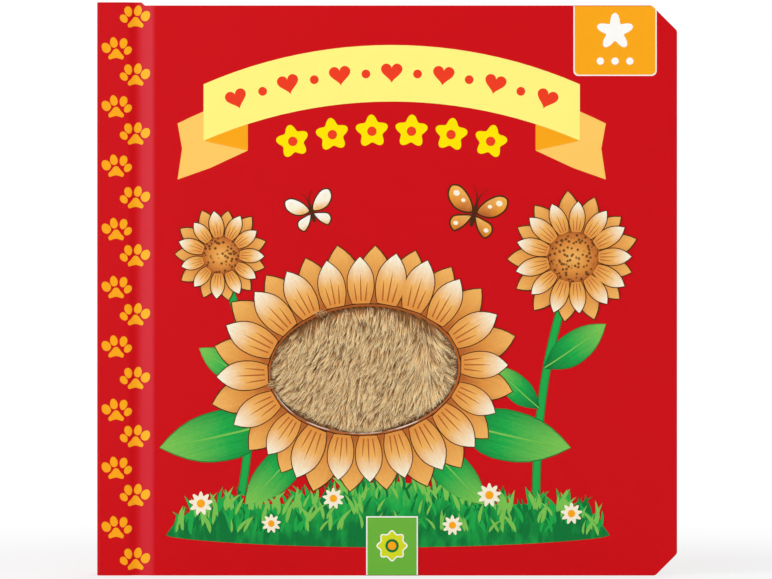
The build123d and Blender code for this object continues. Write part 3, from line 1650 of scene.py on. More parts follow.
@dataclass
class Blossom:
    """A flower painted round an oval middle: two rings of petals with fine lines and strokes.

    A stroke on a petal is its side, its lean in degrees and its length as a share of the petal's.
    """

    name: str
    heart: Oval
    petal_count: int
    petal: Frond
    open_heart: bool = False
    gap: float = 0.9
    line: float = 0.28
    back_growth: float = 1.18
    collar: float = 3.4
    rim: float = 0.3
    collar_steps: int = 40
    disc_steps: int = 48
    overlap: float = 0.0004
    stray_turn: float = 0.07
    sizes: Point = (0.92, 1.08)
    strokes: tuple[Triple, ...] = ((-1, -7.0, 0.42), (0, 0.0, 0.6), (1, 7.0, 0.42))
    stroke_width: float = 0.05
    stroke_side: float = 0.34
    stroke_start: float = 0.06

    def build(self) -> None:
        """Paints the collar, both rings, the strokes and, unless it is left open, the middle."""
        print_film(f"{self.name}_collar", stamp(self._collar()), Layer.LEAF_VEIN, Ink.RUST)
        back_wash = PaintWash(Ink.RUST, Ink.AMBER, Ink.HONEY, side=Ink.RUST)
        front_wash = PaintWash(Ink.AMBER, Ink.HONEY, Ink.CREAM, side=Ink.AMBER)
        back, front = self._places(0.5, self.back_growth), self._places(0.0)
        self._ring("back", back, (Layer.BACK_LINE, Layer.BACK_FILL), back_wash)
        self._ring("front", front, (Layer.FRONT_LINE, Layer.FRONT_FILL), front_wash)
        print_film(f"{self.name}_strokes", stamp(self._fan(), front), Layer.STROKES, Ink.RUST)
        if not self.open_heart:
            outline = moved(self.heart.ring(self.disc_steps, self.gap), -self.heart.u, -self.heart.v)
            disc = stamp([outline], [Place(self.heart.u, self.heart.v)])
            print_film(f"{self.name}_disc", disc, Layer.HEART, SeedDisc())

    def _collar(self) -> list[list[Point]]:
        """Outlines of the ground between the middle and the petals, in two halves.

        Returns:
            The outlines.
        """
        halves = []
        for start in (0.0, math.pi):
            turns = [start + math.pi * step / self.collar_steps for step in range(self.collar_steps + 1)]
            outer = [self.heart.point(turn, self.collar) for turn in turns]
            inner = [self.heart.point(turn, self.rim) for turn in reversed(turns)]
            halves.append(outer + inner)
        return halves

    def _places(self, offset: float, growth: float = 1.0) -> list[Place]:
        """Where the petals of a ring stand.

        Args:
            offset: Share of a step by which the ring is moved on.
            growth: Size of its petals.

        Returns:
            The places.
        """
        chance = random.Random(f"{self.name}{offset}")
        places = []
        for turn in self.heart.even_turns(self.petal_count, offset):
            u, v = self.heart.point(turn, self.gap)
            stray = chance.uniform(-self.stray_turn, self.stray_turn)
            heading = self.heart.outward(turn) - math.pi / 2 + stray
            places.append(Place(u, v, heading, chance.uniform(*self.sizes) * growth))
        return places

    def _ring(self, ring: str, places: list[Place], layers: tuple[Layer, Layer], wash: PaintWash) -> None:
        """Paints one ring of petals with a fine dark line round each.

        Args:
            ring: Name of the ring.
            places: Where its petals stand.
            layers: Films of the lines and of the petals.
            wash: Paint of the petals.
        """
        stacked = [replace(place, lift=self.overlap * index) for index, place in enumerate(places)]
        petal = self.petal.outline()
        lines = stamp([grown(petal, self.line)], stacked)
        print_film(f"{self.name}_{ring}_lines", lines, layers[0], Ink.UMBER)
        print_film(f"{self.name}_{ring}_petals", stamp([petal], stacked), layers[1], wash)

    def _fan(self) -> list[list[Point]]:
        """Outlines of the thin strokes up a petal.

        Returns:
            The outlines.
        """
        fan = []
        for side, lean, share in self.strokes:
            stroke = line_of(self.petal.length * share, self.petal.half_width * self.stroke_width)
            aside = side * self.petal.half_width * self.stroke_side
            fan.append(moved(stroke, aside, self.petal.length * self.stroke_start, -math.radians(lean)))
        return fan


@dataclass
class Foliage:
    """Stems and leaves of the painted flowers.

    A stem is its foot, the point that it bends towards and its head. A leaf is its place, its turn in
    degrees and its size.
    """

    stems: tuple[tuple[Point, Point, Point], ...] = (
        ((131.0, 24.0), (131.0, 62.0), (142.0, 90.0)),
        ((43.0, 24.0), (50.0, 62.0), (37.0, 92.0)),
    )
    stem_half: float = 1.0
    stem_steps: int = 24
    leaves: tuple[tuple[float, float, float, float], ...] = (
        (54.0, 46.0, 106.0, 1.0),
        (106.0, 46.0, -106.0, 1.0),
        (62.0, 40.0, 140.0, 0.72),
        (98.0, 40.0, -140.0, 0.72),
        (133.5, 62.0, -58.0, 0.62),
        (131.8, 50.0, 50.0, 0.5),
        (46.5, 58.0, 62.0, 0.52),
    )
    leaf: Frond = Frond(36.0, 7.4, base=0.06, widest=0.42, bend=0.06)
    side_share: float = 0.35
    vein_share: float = 0.86
    vein_half: float = 0.34
    line: float = 0.28
    overlap: float = 0.0006

    def build(self) -> None:
        """Paints the stems, then the leaves with their lines and veins."""
        stems = [self._stem(points, self.stem_half) for points in self.stems]
        print_film("stems", stamp(stems), Layer.DETAIL, Ink.LEAF_GREEN)
        edges = [self._stem(points, self.stem_half + self.line) for points in self.stems]
        print_film("stem_lines", stamp(edges), Layer.GROUND_TONE, Ink.LEAF_DARK)
        places = [
            Place(u, v, math.radians(turn), scale, flip=turn < 0, lift=self.overlap * index)
            for index, (u, v, turn, scale) in enumerate(self.leaves)
        ]
        leaf = self.leaf.outline()
        wash = PaintWash(Ink.LEAF_DARK, Ink.LEAF_GREEN, Ink.LEAF_LIGHT, Ink.LEAF_DARK, self.side_share)
        vein = line_of(self.leaf.length * self.vein_share, self.vein_half, self.leaf.bend * self.vein_share)
        films = (
            ("leaf_lines", grown(leaf, self.line), Layer.LEAF_LINE, Ink.LEAF_DARK),
            ("leaves", leaf, Layer.LEAF_FILL, wash),
            ("leaf_veins", vein, Layer.LEAF_VEIN, Ink.LEAF_LIGHT),
        )
        for name, outline, layer, finish in films:
            print_film(name, stamp([outline], places), layer, finish)

    def _stem(self, points: tuple[Point, Point, Point], half: float) -> list[Point]:
        """Outline of a stem along a simple curve.

        Args:
            points: Its foot, the point that it bends towards and its head.
            half: Half of its width.

        Returns:
            The outline.
        """
        first, middle, last = (Vector(point) for point in points)
        left, right = [], []
        for step in range(self.stem_steps + 1):
            t = step / self.stem_steps
            spot = first * (1 - t) ** 2 + middle * 2 * t * (1 - t) + last * t**2
            along = ((middle - first) * (1 - t) + (last - middle) * t).normalized()
            right.append((spot.x + along.y * half, spot.y - along.x * half))
            left.append((spot.x - along.y * half, spot.y + along.x * half))
        return right + left[::-1]


@dataclass
class Meadow:
    """Low hills under the flowers, with blades of grass over them and small daisies.

    A daisy is its place and its size.
    """

    left_u: float = 20.5
    right_u: float = 153.0
    foot_v: float = 12.0
    steps: int = 60
    height: float = 13.5
    roll: float = 2.6
    roll_count: float = 2.3
    roll_start: float = 0.6
    bluntness: float = 0.55
    sag: float = 3.6
    sag_bluntness: float = 0.6
    blade: Frond = Frond(7.0, 0.62, base=0.12, widest=0.3)
    blade_bends: tuple[float, ...] = (-0.4, -0.15, 0.2, 0.45)
    blade_count: int = 150
    blade_span: Point = (0.02, 0.98)
    blade_heights: tuple[float, ...] = (0.2, 0.5, 0.75, 0.9, 0.93, 0.95)
    blade_sink: float = 1.0
    blade_lean: float = 22
    blade_sizes: Point = (0.55, 1.05)
    daisies: tuple[Triple, ...] = (
        (31.0, 21.5, 1.0),
        (52.0, 15.5, 0.8),
        (70.5, 23.0, 0.9),
        (106.0, 15.0, 0.85),
        (117.0, 24.0, 1.0),
        (141.5, 18.5, 0.9),
    )
    daisy_radius: float = 3.6
    daisy_petals: int = 9
    daisy_hollow: float = 0.36
    daisy_points: int = 90
    daisy_eye: float = 0.34
    seed: int = 5
    overlap: float = 0.0001

    def build(self) -> None:
        """Paints the hills, the blades in three greens and the daisies."""
        print_film("hills", stamp([self._hills()]), Layer.GROUND, MeadowWash())
        chance = random.Random(self.seed)
        self._blades(Ink.LEAF_DARK, Layer.DETAIL, chance)
        self._blades(Ink.LEAF_GREEN, Layer.DETAIL_TONE, chance)
        self._blades(Ink.LEAF_LIGHT, Layer.LEAF_LINE, chance)
        places = [Place(u, v, scale=scale) for u, v, scale in self.daisies]
        petals = lobes(self.daisy_radius, self.daisy_petals, self.daisy_hollow, self.daisy_points)
        print_film("daisies", stamp([petals], places), Layer.STROKES, Ink.CREAM)
        eyes = stamp([dot(self.daisy_radius * self.daisy_eye)], places)
        print_film("daisy_eyes", eyes, Layer.HEART, Ink.PAW_ORANGE)

    def _top(self, share: float) -> float:
        """Height of the hills' top line above their foot.

        Args:
            share: Place along the hills, from 0 to 1.

        Returns:
            The height.
        """
        crown = math.sin(math.pi * share) ** self.bluntness
        wave = math.sin(self.roll_count * math.tau * share + self.roll_start)
        return crown * (self.height + self.roll * wave)

    def _hills(self) -> list[Point]:
        """Outline of the hills, tapering to both ends.

        Returns:
            The outline.
        """
        width = self.right_u - self.left_u
        shares = [step / self.steps for step in range(self.steps + 1)]
        sags = [self.sag * math.sin(math.pi * share) ** self.sag_bluntness for share in shares]
        under = [(self.left_u + width * share, self.foot_v - sag) for share, sag in zip(shares, sags)]
        inner = reversed(shares[1:-1])
        over = [(self.left_u + width * share, self.foot_v + self._top(share)) for share in inner]
        return under + over

    def _blades(self, ink: Ink, layer: Layer, chance: random.Random) -> None:
        """Paints blades of grass of one green along the hills' top and over their slopes.

        Args:
            ink: The green.
            layer: Its film.
            chance: Where the scatter comes from.
        """
        stands = {bend: [] for bend in self.blade_bends}
        for index in range(self.blade_count):
            share = chance.uniform(*self.blade_span)
            u = self.left_u + (self.right_u - self.left_u) * share
            v = self.foot_v + self._top(share) * chance.choice(self.blade_heights) - self.blade_sink
            turn = math.radians(chance.uniform(-self.blade_lean, self.blade_lean))
            scale = chance.uniform(*self.blade_sizes)
            place = Place(u, v, turn, scale, lift=self.overlap * index)
            stands[chance.choice(self.blade_bends)].append(place)
        blades = []
        for bend, places in stands.items():
            blades += stamp([replace(self.blade, bend=bend).outline()], places)
        print_film(f"grass_{ink.name.lower()}", blades, layer, ink)


@dataclass
class Butterfly:
    """A small painted butterfly with spotted wings.

    The outlines of the wings are those on its right. A spot is its place and its half width.
    """

    name: str
    u: float
    v: float
    turn_deg: float
    scale: float
    wing: PaintWash
    upper: tuple[Point, ...] = (
        (0.4, 0.5), (2.2, 4.4), (6.0, 7.4), (9.2, 7.0),
        (9.6, 3.6), (7.0, 0.4), (3.4, -0.6),
    )
    lower: tuple[Point, ...] = (
        (0.4, -0.6), (3.4, -1.0), (6.4, -2.2), (7.0, -4.8),
        (5.0, -7.0), (2.6, -5.4), (0.9, -2.8),
    )
    spots: tuple[Triple, ...] = ((6.9, 4.9, 1.05), (4.3, 3.2, 0.7), (4.9, -4.3, 0.8))
    spot_height: float = 0.85
    border: float = 0.55
    body: Triple = (0.75, 4.4, 0.3)
    feeler: Triple = (4.6, 0.16, 0.5)
    feeler_foot: Point = (0.25, 4.0)
    overlap: float = 0.001

    def build(self) -> None:
        """Paints the wings' borders, the wings, their spots and the body."""
        wings = [smooth_loop(self.upper), smooth_loop(self.lower)]
        self._film("edges", self._pairs(wings), Layer.DETAIL, Ink.UMBER)
        fields = [grown(wing, -self.border) for wing in wings]
        self._film("wings", self._pairs(fields), Layer.LEAF_LINE, self.wing)
        spots = [moved(egg(radius, radius * self.spot_height), u, v) for u, v, radius in self.spots]
        self._film("spots", self._pairs(spots), Layer.LEAF_FILL, Ink.CREAM)
        body = [egg(*self.body)]
        length, half_width, bend = self.feeler
        foot_u, foot_v = self.feeler_foot
        for side in (-1, 1):
            body.append(moved(line_of(length, half_width, bend * side), side * foot_u, foot_v))
        self._film("body", body, Layer.LEAF_VEIN, Ink.UMBER)

    @staticmethod
    def _pairs(outlines: list[list[Point]]) -> list[list[Point]]:
        """Shapes on the right wings, each followed by its mirror image on the left."""
        return [shape for outline in outlines for shape in (outline, [(-u, v) for u, v in outline])]

    def _film(self, part: str, outlines: list[list[Point]], layer: Layer, finish: Finish | Ink) -> None:
        """Paints shapes at the butterfly's place as one film.

        Args:
            part: Name of the part.
            outlines: The shapes.
            layer: Their film.
            finish: Their paint.
        """
        place = Place(self.u, self.v, math.radians(self.turn_deg), self.scale)
        shapes = []
        for index, outline in enumerate(outlines):
            shapes += stamp([outline], [replace(place, lift=self.overlap * index)])
        print_film(f"{self.name}_{part}", shapes, layer, finish)


# Fur


def window_shares(places: Array) -> tuple[Array, Array]:
    """Places across and up from the window's middle, as shares of its half width and half height."""
    return places[:, 0] / WINDOW.half_width, places[:, 1] / WINDOW.half_height


def steps_along(heading: Array) -> Array:
    """Steps of length 1 along directions that are given in radians from straight down."""
    return np.stack([-np.sin(heading), -np.cos(heading)], axis=1)


@dataclass(frozen=True)
class Comb:
    """How the fur is combed, in degrees from straight down, positive towards the spine.

    A change is its turn, where it starts and where it is full, as shares of the window's half axes.
    """

    turn: float = 28.0
    spine: Triple = (22.0, -0.15, -0.9)
    head: Triple = (-20.0, 0.2, 0.95)
    tail: Triple = (-10.0, -0.5, -0.95)
    parted: Triple = (-30.0, 0.56, 0.74)
    end: Triple = (-42.0, 0.78, 0.97)
    wave_turn: float = 7.0
    wave_rate: float = 0.45
    sway: float = 1.3
    sway_rate: float = 0.3
    ripple_turn: float = 6.0
    ripple_rates: Point = (0.21, 0.62)

    def heading(self, places: Array) -> Array:
        """Direction in which the fur lies at each place.

        Args:
            places: Places across and up from the window's middle.

        Returns:
            Angles in radians.
        """
        across, up = window_shares(places)
        turn = np.full(len(places), self.turn)
        for shares, (change, start, full) in ((across, self.spine), (up, self.head), (up, self.tail)):
            turn += change * ease(shares, start, full)
        parted = ease(across, *self.parted[1:])
        turn = turn * (1 - parted) + self.parted[0] * parted
        turn += self.end[0] * ease(across, *self.end[1:])
        run, rise = places.T
        turn += self.wave_turn * np.sin(run * self.wave_rate + self.sway * np.sin(rise * self.sway_rate))
        turn += self.ripple_turn * np.sin(rise * self.ripple_rates[1] + run * self.ripple_rates[0])
        return np.radians(turn)


@dataclass(frozen=True)
class Zones:
    """Where the fur lies in another way than elsewhere.

    A span is where a zone starts and where it is full, as shares of the window's half axes.
    """

    streak_side: Point = (0.5, 0.62)
    streak_end: Point = (0.86, 0.76)
    streak_head: Point = (0.75, 0.4)
    tousle: Point = (0.76, 0.9)
    rim: Point = (0.84, 0.96)
    rim_middle: float = 0.3
    rim_ends: Point = (0.05, 0.45)
    parting_at: float = 0.74
    parting_bow: float = 0.42
    parting_width: Point = (0.06, 0.01)
    parting_foot: Point = (-0.5, -0.25)
    parting_head: Point = (0.85, 0.7)
    parting_shade: float = 0.8
    low_rim: float = 0.09
    low_foot: Point = (-0.25, -0.6)
    low_ends: Point = (0.12, 0.4)

    def shares(self, places: Array) -> tuple[Array, Array, Array]:
        """How far each place lies in the long streaks, the tousled end and the shaded rim and parting.

        Args:
            places: Places across and up from the window's middle.

        Returns:
            Three shares from 0 to 1 for each place.
        """
        across, up = window_shares(places)
        streaked = ease(across, *self.streak_side) * ease(across, *self.streak_end)
        streaked *= ease(up, *self.streak_head)
        tousled = ease(across, *self.tousle)
        rim = ease(np.hypot(across, up), *self.rim)
        rim *= self.rim_middle + (1 - self.rim_middle) * ease(np.abs(across), *self.rim_ends)
        off_parting = np.abs(across - self.parting_at + self.parting_bow * up * np.maximum(up, 0.0))
        parting = ease(off_parting, *self.parting_width) * ease(up, *self.parting_foot)
        parting *= ease(up, *self.parting_head)
        return streaked, tousled, np.maximum(rim, self.parting_shade * parting)

    def drawn_in(self, places: Array) -> Array:
        """How far the strands stay back from the rim, below and towards both ends of the window."""
        across, up = window_shares(places)
        return self.low_rim * ease(up, *self.low_foot) * ease(np.abs(across), *self.low_ends)


@dataclass(frozen=True)
class Habit:
    """How far locks and strands differ from each other, and what the zones do to a lock.

    A pair is the least and the most, and a single value is a spread about the middle. What the streaks, the
    tousled end and the shade do to the rise and the tone is added, and the rest are shares.
    """

    lock_turn: float = 0.15
    lock_reach: Point = (0.75, 1.25)
    lock_rise: float = 0.33
    lock_tone: float = 0.27
    tousle_turn: float = 6.0
    tousle_contrast: float = 0.5
    streak_reach: float = 0.55
    zone_rise: Triple = (0.25, -0.45, -0.8)
    zone_tone: Triple = (0.2, -0.32, -0.6)
    turn: float = 0.1
    reach: Point = (0.75, 1.15)
    rise: float = 0.16
    heights: Point = (0.6, 2.4)
    curl: float = 0.14
    width: Point = (0.75, 1.3)
    rim: float = 0.985
    over_rim: float = 0.03
    over_power: float = 3
    drawn_power: float = 0.7


@dataclass(frozen=True)
class Coat:
    """How one coat of the fur grows and lies."""

    name: str
    root_step: float
    lock_step: float
    length: float
    rise: float
    root_radius: float
    gather: float
    tone: float
    tone_spread: float
    seed: int


# The undercoat's low tone keeps it dark, which paints shade in the gaps between the pile's locks.
UNDERCOAT = Coat(
    "fur_undercoat", root_step=0.46, lock_step=1.6, length=3.0, rise=1.0, root_radius=0.17,
    gather=0.2, tone=0.12, tone_spread=0.1, seed=7,
)
PILE = Coat(
    "fur_pile", root_step=0.395, lock_step=0.95, length=4.1, rise=1.85, root_radius=0.108,
    gather=0.55, tone=0.74, tone_spread=0.4, seed=11,
)


@dataclass
class Locks:
    """The locks of a coat: their places and what each does to its strands."""

    places: Array
    turn: Array
    reach: Array
    rise: Array
    tone: Array


@dataclass
class Strands:
    """The strands of a coat, each of three rings of three points and a tip.

    Places are across and up from the window's middle, and heights are over the backing.
    """

    roots: Array
    tips: Array
    height: Array
    curl: Array
    width: Array
    tone: Array
    rings: Triple = (0.0, 0.3, 0.66)
    slimness: Triple = (1.0, 0.95, 0.62)
    corners: Triple = (math.pi / 6, math.pi * 5 / 6, math.pi * 3 / 2)
    run_power: float = 1.15
    rise_power: float = 1.9

    def build(self, name: str) -> Piece:
        """Makes the coat's mesh, with tone and share of the length on its print map.

        Args:
            name: The coat's name.

        Returns:
            The coat.
        """
        points = self._points()
        count, size, _ = points.shape
        across, up, out = points.reshape(-1, 3).T
        lean = math.radians(WINDOW.tilt)
        x = BOOK.window_x + across * math.cos(lean) - up * math.sin(lean)
        z = BOOK.window_z + across * math.sin(lean) + up * math.cos(lean)
        turns = ((0, 1), (1, 2), (2, 0))
        strand = [(low + a, low + b, low + 3 + b, low + 3 + a) for low in (0, 3) for a, b in turns]
        strand += [*[(6 + a, 6 + b, 9) for a, b in turns], (2, 1, 0)]
        starts = range(0, count * size, size)
        faces = [tuple(first + index for index in face) for first in starts for face in strand]
        mesh = bpy.data.meshes.new(name)
        mesh.from_pydata((np.stack([x, BOOK.liner_y - out, z], axis=1) * MM).tolist(), [], faces)
        vertices = np.zeros(len(mesh.loops), dtype=np.int32)
        mesh.loops.foreach_get("vertex_index", vertices)
        along = np.array([*np.repeat(self.rings, len(self.corners)), 1.0])
        spots = np.stack([self.tone[vertices // size], along[vertices % size]], axis=1)
        mesh.uv_layers.new(name=PRINT_MAP).data.foreach_set("uv", spots.ravel())
        coat = bpy.data.objects.new(name, mesh)
        bpy.context.scene.collection.objects.link(coat)
        turn_outwards(coat)
        return coat

    def _points(self) -> Array:
        """Points of every strand, ring by ring and then the tip.

        Returns:
            Places across, up and out from the backing, by strand and point.
        """
        run = self.tips - self.roots
        flat = np.linalg.norm(run, axis=1, keepdims=True)
        aside = np.stack([-run[:, 1], run[:, 0]], axis=1) / np.maximum(flat, 0.01)
        points = []
        for share, slim in zip((*self.rings, 1.0), (*self.slimness, 0.0)):
            bow = self.curl * math.sin(math.pi * share)
            spot = self.roots + run * share**self.run_power + aside * bow[:, None]
            lift = self.height * (1 - (1 - share) ** self.rise_power)
            radius = self.width * slim
            for corner in self.corners if slim else self.corners[:1]:
                place = spot + aside * (radius * math.cos(corner))[:, None]
                points.append(np.column_stack([place, lift + radius * math.sin(corner)]))
        return np.stack(points, axis=1)


@dataclass
class FurPatch:
    """Faux fur behind the window: a knitted backing in the pocket, an undercoat and combed locks."""

    flange: float = 6.0
    backing_steps: int = 96
    row_step: float = 0.87
    jitter: float = 0.45
    grown_to: float = 0.985
    stray_turns: tuple[float, ...] = (115.0, 189.0)
    stray_spread: float = 3.2
    stray_from: float = 0.945
    stray_reach: Point = (1.3, 2.6)
    stray_height: Point = (2.1, 2.4)
    comb: Comb = Comb()
    zones: Zones = Zones()
    habit: Habit = Habit()
    coats: tuple[Coat, ...] = (UNDERCOAT, PILE)

    def build(self) -> None:
        backing = self._backing()
        dress(backing, FurBacking().material(backing.name))
        coats = [self._coat(coat) for coat in self.coats]
        for piece in coats:
            dress(piece, FurFibre().material(piece.name))
        for piece in (backing, *coats):
            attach(piece, Side.FRONT.body)
            LOG.info("%s: %d faces", piece.name, len(piece.data.polygons))
        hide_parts("fur_patch")

    def _backing(self) -> Piece:
        """Cuts the oval backing and gives it its thickness.

        Returns:
            The backing.
        """
        backing = join("fur_backing", stamp([WINDOW.ring(self.backing_steps, self.flange)]))
        for vertex in backing.data.vertices:
            vertex.co.y = BOOK.liner_y * MM
        thicken(backing, BOOK.patch_back_y - BOOK.liner_y)
        turn_outwards(backing)
        return backing

    def _scatter(self, step: float, chance: np.random.Generator) -> Array:
        """Scatters places over the window, about a step apart.

        Args:
            step: Distance between neighbours.
            chance: Where the scatter comes from.

        Returns:
            Places across and up from the window's middle.
        """
        wide, high = WINDOW.half_width, WINDOW.half_height
        rows = np.arange(-high, high, step * self.row_step)
        columns = np.arange(-wide, wide, step)
        across, up = np.meshgrid(columns, rows)
        across[1::2] += step / 2
        places = np.stack([across.ravel(), up.ravel()], axis=1)
        places += chance.uniform(-self.jitter, self.jitter, places.shape) * step
        return places[np.hypot(*window_shares(places)) < self.grown_to]

    def _locks(self, places: Array, chance: np.random.Generator) -> Locks:
        """Draws how the locks at some places differ.

        Args:
            places: Places across and up from the window's middle.
            chance: Where the differences come from.

        Returns:
            The locks.
        """
        habit = self.habit
        count = len(places)
        streaked, tousled, shaded = self.zones.shares(places)
        turn = chance.normal(0.0, habit.lock_turn, count) * (1 + habit.tousle_turn * tousled)
        reach = chance.uniform(*habit.lock_reach, count) * (1 + habit.streak_reach * streaked)
        rise = chance.normal(0.0, habit.lock_rise, count)
        tone = chance.normal(0.0, habit.lock_tone, count) * (1 + habit.tousle_contrast * tousled)
        # The shade zone lowers locks at the rim and the parting, and its darker tone there is painted shade.
        for zone, more_rise, more_tone in zip((streaked, tousled, shaded), habit.zone_rise, habit.zone_tone):
            rise += more_rise * zone
            tone += more_tone * zone
        return Locks(places, turn, reach, rise, tone)

    def _coat(self, coat: Coat) -> Piece:
        """Grows one coat: tapered closed strands gathered into locks.

        Args:
            coat: How it grows and lies.

        Returns:
            The coat.
        """
        habit = self.habit
        chance = np.random.default_rng(coat.seed)
        roots = self._scatter(coat.root_step, chance)
        locks = self._locks(self._scatter(coat.lock_step, chance), chance)
        owner = np.argmin(((roots[:, None, :] - locks.places[None, :, :]) ** 2).sum(axis=2), axis=1)
        count = len(roots)
        heading = self.comb.heading(roots) + locks.turn[owner] + chance.normal(0.0, habit.turn, count)
        reach = coat.length * locks.reach[owner] * chance.uniform(*habit.reach, count)
        tips = roots + reach[:, None] * steps_along(heading)
        lock_steps = steps_along(self.comb.heading(locks.places) + locks.turn)
        lock_tips = locks.places + coat.length * locks.reach[:, None] * lock_steps
        tips += coat.gather * (lock_tips[owner] - tips)
        drawn = self.zones.drawn_in(locks.places) * chance.random(len(locks.places)) ** habit.drawn_power
        limit = habit.rim + habit.over_rim * chance.random(count) ** habit.over_power - drawn[owner]
        tips = self._kept_inside(roots, tips, limit)
        height = coat.rise + locks.rise[owner] + chance.normal(0.0, habit.rise, count)
        height = np.clip(height, *habit.heights)
        stray = self._stray(roots, tips, height, chance)
        curl = chance.normal(0.0, habit.curl, count)
        width = coat.root_radius * chance.uniform(*habit.width, count)
        tone = coat.tone + locks.tone[owner] + chance.normal(0.0, coat.tone_spread, count)
        tone = np.clip(tone, 0.0, 1.0)
        tone[stray] = np.maximum(tone[stray], coat.tone)
        return Strands(roots, tips, height, curl, width, tone).build(coat.name)

    def _stray(self, roots: Array, tips: Array, height: Array, chance: np.random.Generator) -> Array:
        """Throws the strands at a few spots of the rim outwards, over the board's edge.

        Args:
            roots: Places of the roots.
            tips: Places of the tips, changed in place.
            height: Heights of the tips, changed in place.
            chance: Where the differences between strands come from.

        Returns:
            Which strands they are.
        """
        across, up = window_shares(roots)
        turn = np.degrees(np.arctan2(up, across)) % 360
        at_rim = np.hypot(across, up) > self.stray_from
        off_spot = np.min([np.abs(turn - spot) for spot in self.stray_turns], axis=0)
        caught = at_rim & (off_spot < self.stray_spread)
        out = roots[caught] / np.linalg.norm(roots[caught], axis=1, keepdims=True)
        tips[caught] = roots[caught] + out * chance.uniform(*self.stray_reach, (caught.sum(), 1))
        height[caught] = chance.uniform(*self.stray_height, caught.sum())
        return caught

    @staticmethod
    def _kept_inside(roots: Array, tips: Array, limit: Array) -> Array:
        """Shortens the strands that would run over the window's rim.

        Args:
            roots: Places of the roots.
            tips: Places of the tips.
            limit: How far each tip may go, as a share of the window's oval.

        Returns:
            Places of the shortened tips.
        """
        axes = np.array([WINDOW.half_width, WINDOW.half_height])
        start = roots / axes
        run = (tips - roots) / axes
        along = (start * run).sum(axis=1)
        size = (run**2).sum(axis=1)
        room = np.maximum(limit**2 - (start**2).sum(axis=1), 0.0)
        share = (-along + np.sqrt(along**2 + size * room)) / size
        return roots + np.minimum(share, 1.0)[:, None] * (tips - roots)


# Studio


@dataclass(frozen=True)
class Softbox:
    """A rectangular lamp, by its place and its size in metres and its power in watts."""

    name: str
    place_m: Triple
    size_m: Point
    power: float

    def build(self, aim_m: Vector) -> None:
        """Adds the lamp and turns it to what it lights.

        Args:
            aim_m: The spot that it faces, in metres.
        """
        deselect_all()
        bpy.ops.object.light_add(type="AREA", location=self.place_m)
        lamp = bpy.context.object
        lamp.name = self.name
        lamp.data.shape = "RECTANGLE"
        lamp.data.size, lamp.data.size_y = self.size_m
        lamp.data.energy = self.power
        lamp.rotation_mode = "QUATERNION"
        lamp.rotation_quaternion = (aim_m - Vector(self.place_m)).to_track_quat("-Z", "Y")


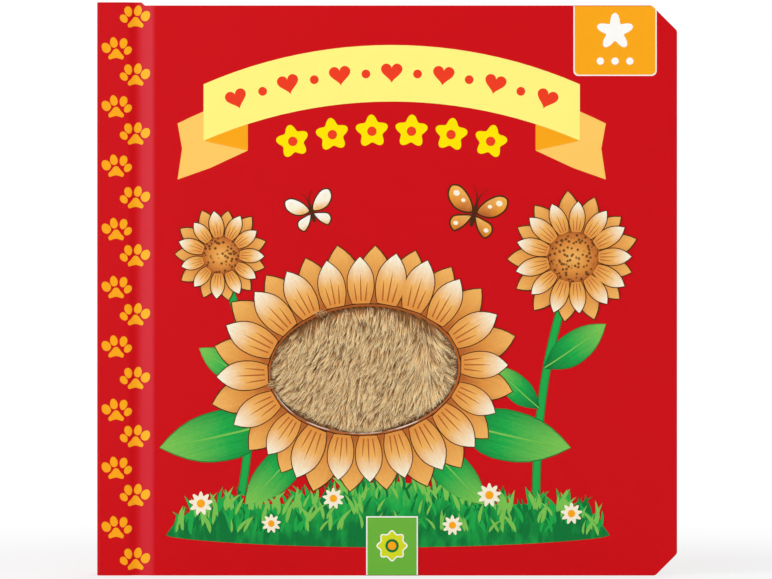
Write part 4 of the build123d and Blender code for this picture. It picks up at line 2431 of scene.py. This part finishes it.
@dataclass
class Studio:
    """Pale floor, white surroundings, soft lamps and the camera."""

    frame_width: float = 230.2
    middle_x: float = -0.3
    middle_z: float = 85.3
    lens: float = 200.0
    sensor: float = 36.0
    clip_m: Point = (0.05, 60.0)
    floor_size_m: float = 24.0
    floor_roughness: float = 0.9
    floor_shine: float = 0.1
    shade_m: Point = (0.09, 0.32)
    shade_white: float = 0.7
    sky: float = 0.3
    lamps: tuple[Softbox, ...] = (
        Softbox("key_softbox", (-3.3, -1.9, 1.85), (2.0, 2.0), 102.0),
        Softbox("strip_softbox", (-0.5, -1.65, 0.42), (0.42, 0.9), 5.0),
        Softbox("fill_softbox", (2.4, -2.2, 1.2), (1.6, 1.6), 16.0),
        Softbox("top_softbox", (0.0, 0.75, 2.6), (1.2, 1.2), 9.0),
        Softbox("back_softbox", (1.0, 3.0, 0.7), (2.0, 2.0), 32.0),
    )

    def build(self) -> None:
        """Sets up the floor, the world, the lamps and the camera."""
        bpy.context.scene.view_settings.view_transform = "Standard"
        self._floor()
        self._world()
        for lamp in self.lamps:
            lamp.build(Vector((self.middle_x * MM, 0.0, self.middle_z * MM)))
        self._camera()

    def _floor(self) -> None:
        """Lays the floor, whose own shade fades to white away from the book."""
        deselect_all()
        bpy.ops.mesh.primitive_plane_add(size=self.floor_size_m)
        floor = bpy.context.object
        floor.name = "floor"
        board = NodeBoard(bpy.data.materials.new("floor"))
        board.shade(Ink.FLOOR, self.floor_roughness, self.floor_shine)
        fade = board.spread(board.length(board.place()), *self.shade_m, self.shade_white, 1.0)
        share = board.math("MULTIPLY", self._seen(board), fade)
        glow = board.node("Emission").outputs["Emission"]
        mixer = board.node("MixShader", {0: share, 1: board.shader.outputs["BSDF"], 2: glow})
        board.feed(board.tree.nodes["Material Output"].inputs["Surface"], mixer.outputs["Shader"])
        dress(floor, board.owner)

    def _world(self) -> None:
        """Makes the surroundings white to look at and a plain soft light otherwise."""
        world = bpy.data.worlds.new("studio")
        bpy.context.scene.world = world
        board = NodeBoard(world, "Background")
        board.set("Color", (1.0, 1.0, 1.0, 1.0))
        board.set("Strength", board.spread(self._seen(board), 0.0, 1.0, self.sky, 1.0))

    @staticmethod
    def _seen(board: NodeBoard) -> Socket:
        """1 for rays that show a surface to the camera, straight or through gloss or glass.

        Args:
            board: The nodes of the floor or of the world.

        Returns:
            The mask.
        """
        rays = board.node("LightPath").outputs
        seen = board.math("MAXIMUM", rays["Is Camera Ray"], rays["Is Glossy Ray"])
        return board.math("MAXIMUM", seen, rays["Is Transmission Ray"])

    def _camera(self) -> None:
        """Stands the camera straight in front of the cover."""
        away = self.frame_width * self.lens / self.sensor
        place = (self.middle_x * MM, (BOOK.front_y - away) * MM, self.middle_z * MM)
        bpy.ops.object.camera_add(location=place, rotation=(math.pi / 2, 0.0, 0.0))
        camera = bpy.context.object
        camera.data.lens = self.lens
        camera.data.sensor_width = self.sensor
        camera.data.clip_start, camera.data.clip_end = self.clip_m
        bpy.context.scene.camera = camera


def main() -> None:
    """Builds the book's dress and its studio, piece by piece."""
    logging.basicConfig(level=logging.INFO, format="%(name)s: %(message)s")
    Studio().build()
    Boards().build()
    HingeCrease(Side.FRONT, BOOK.front_y, BOOK.inside_front_y, haze=0.075).build()
    HingeCrease(Side.BACK, BOOK.back_y, BOOK.inside_back_y, haze=0.03).build()
    PawStrip().build()
    RibbonBanner().build()
    CornerBadge().build()
    Meadow().build()
    Foliage().build()
    Blossom("fur_flower", WINDOW, 20, Frond(14.6, 4.1, base=0.66), open_heart=True).build()
    Blossom("tall_flower", Oval(142.0, 95.0, 6.6, 6.6), 13, Frond(9.6, 2.4)).build()
    Blossom("small_flower", Oval(37.0, 95.5, 4.6, 4.6), 11, Frond(7.2, 1.95)).build()
    orange_wing = PaintWash(Ink.RUST, Ink.AMBER, Ink.HONEY, side=Ink.PAW_ORANGE)
    cream_wing = PaintWash(Ink.HONEY, Ink.CREAM, Ink.WHITE, side=Ink.CREAM)
    Butterfly("orange_butterfly", 112.5, 108.0, -14.0, 0.95, orange_wing).build()
    Butterfly("cream_butterfly", 64.0, 108.5, 16.0, 0.75, cream_wing).build()
    FurPatch().build()
    TailTab().build()


if __name__ == "__main__":
    main()
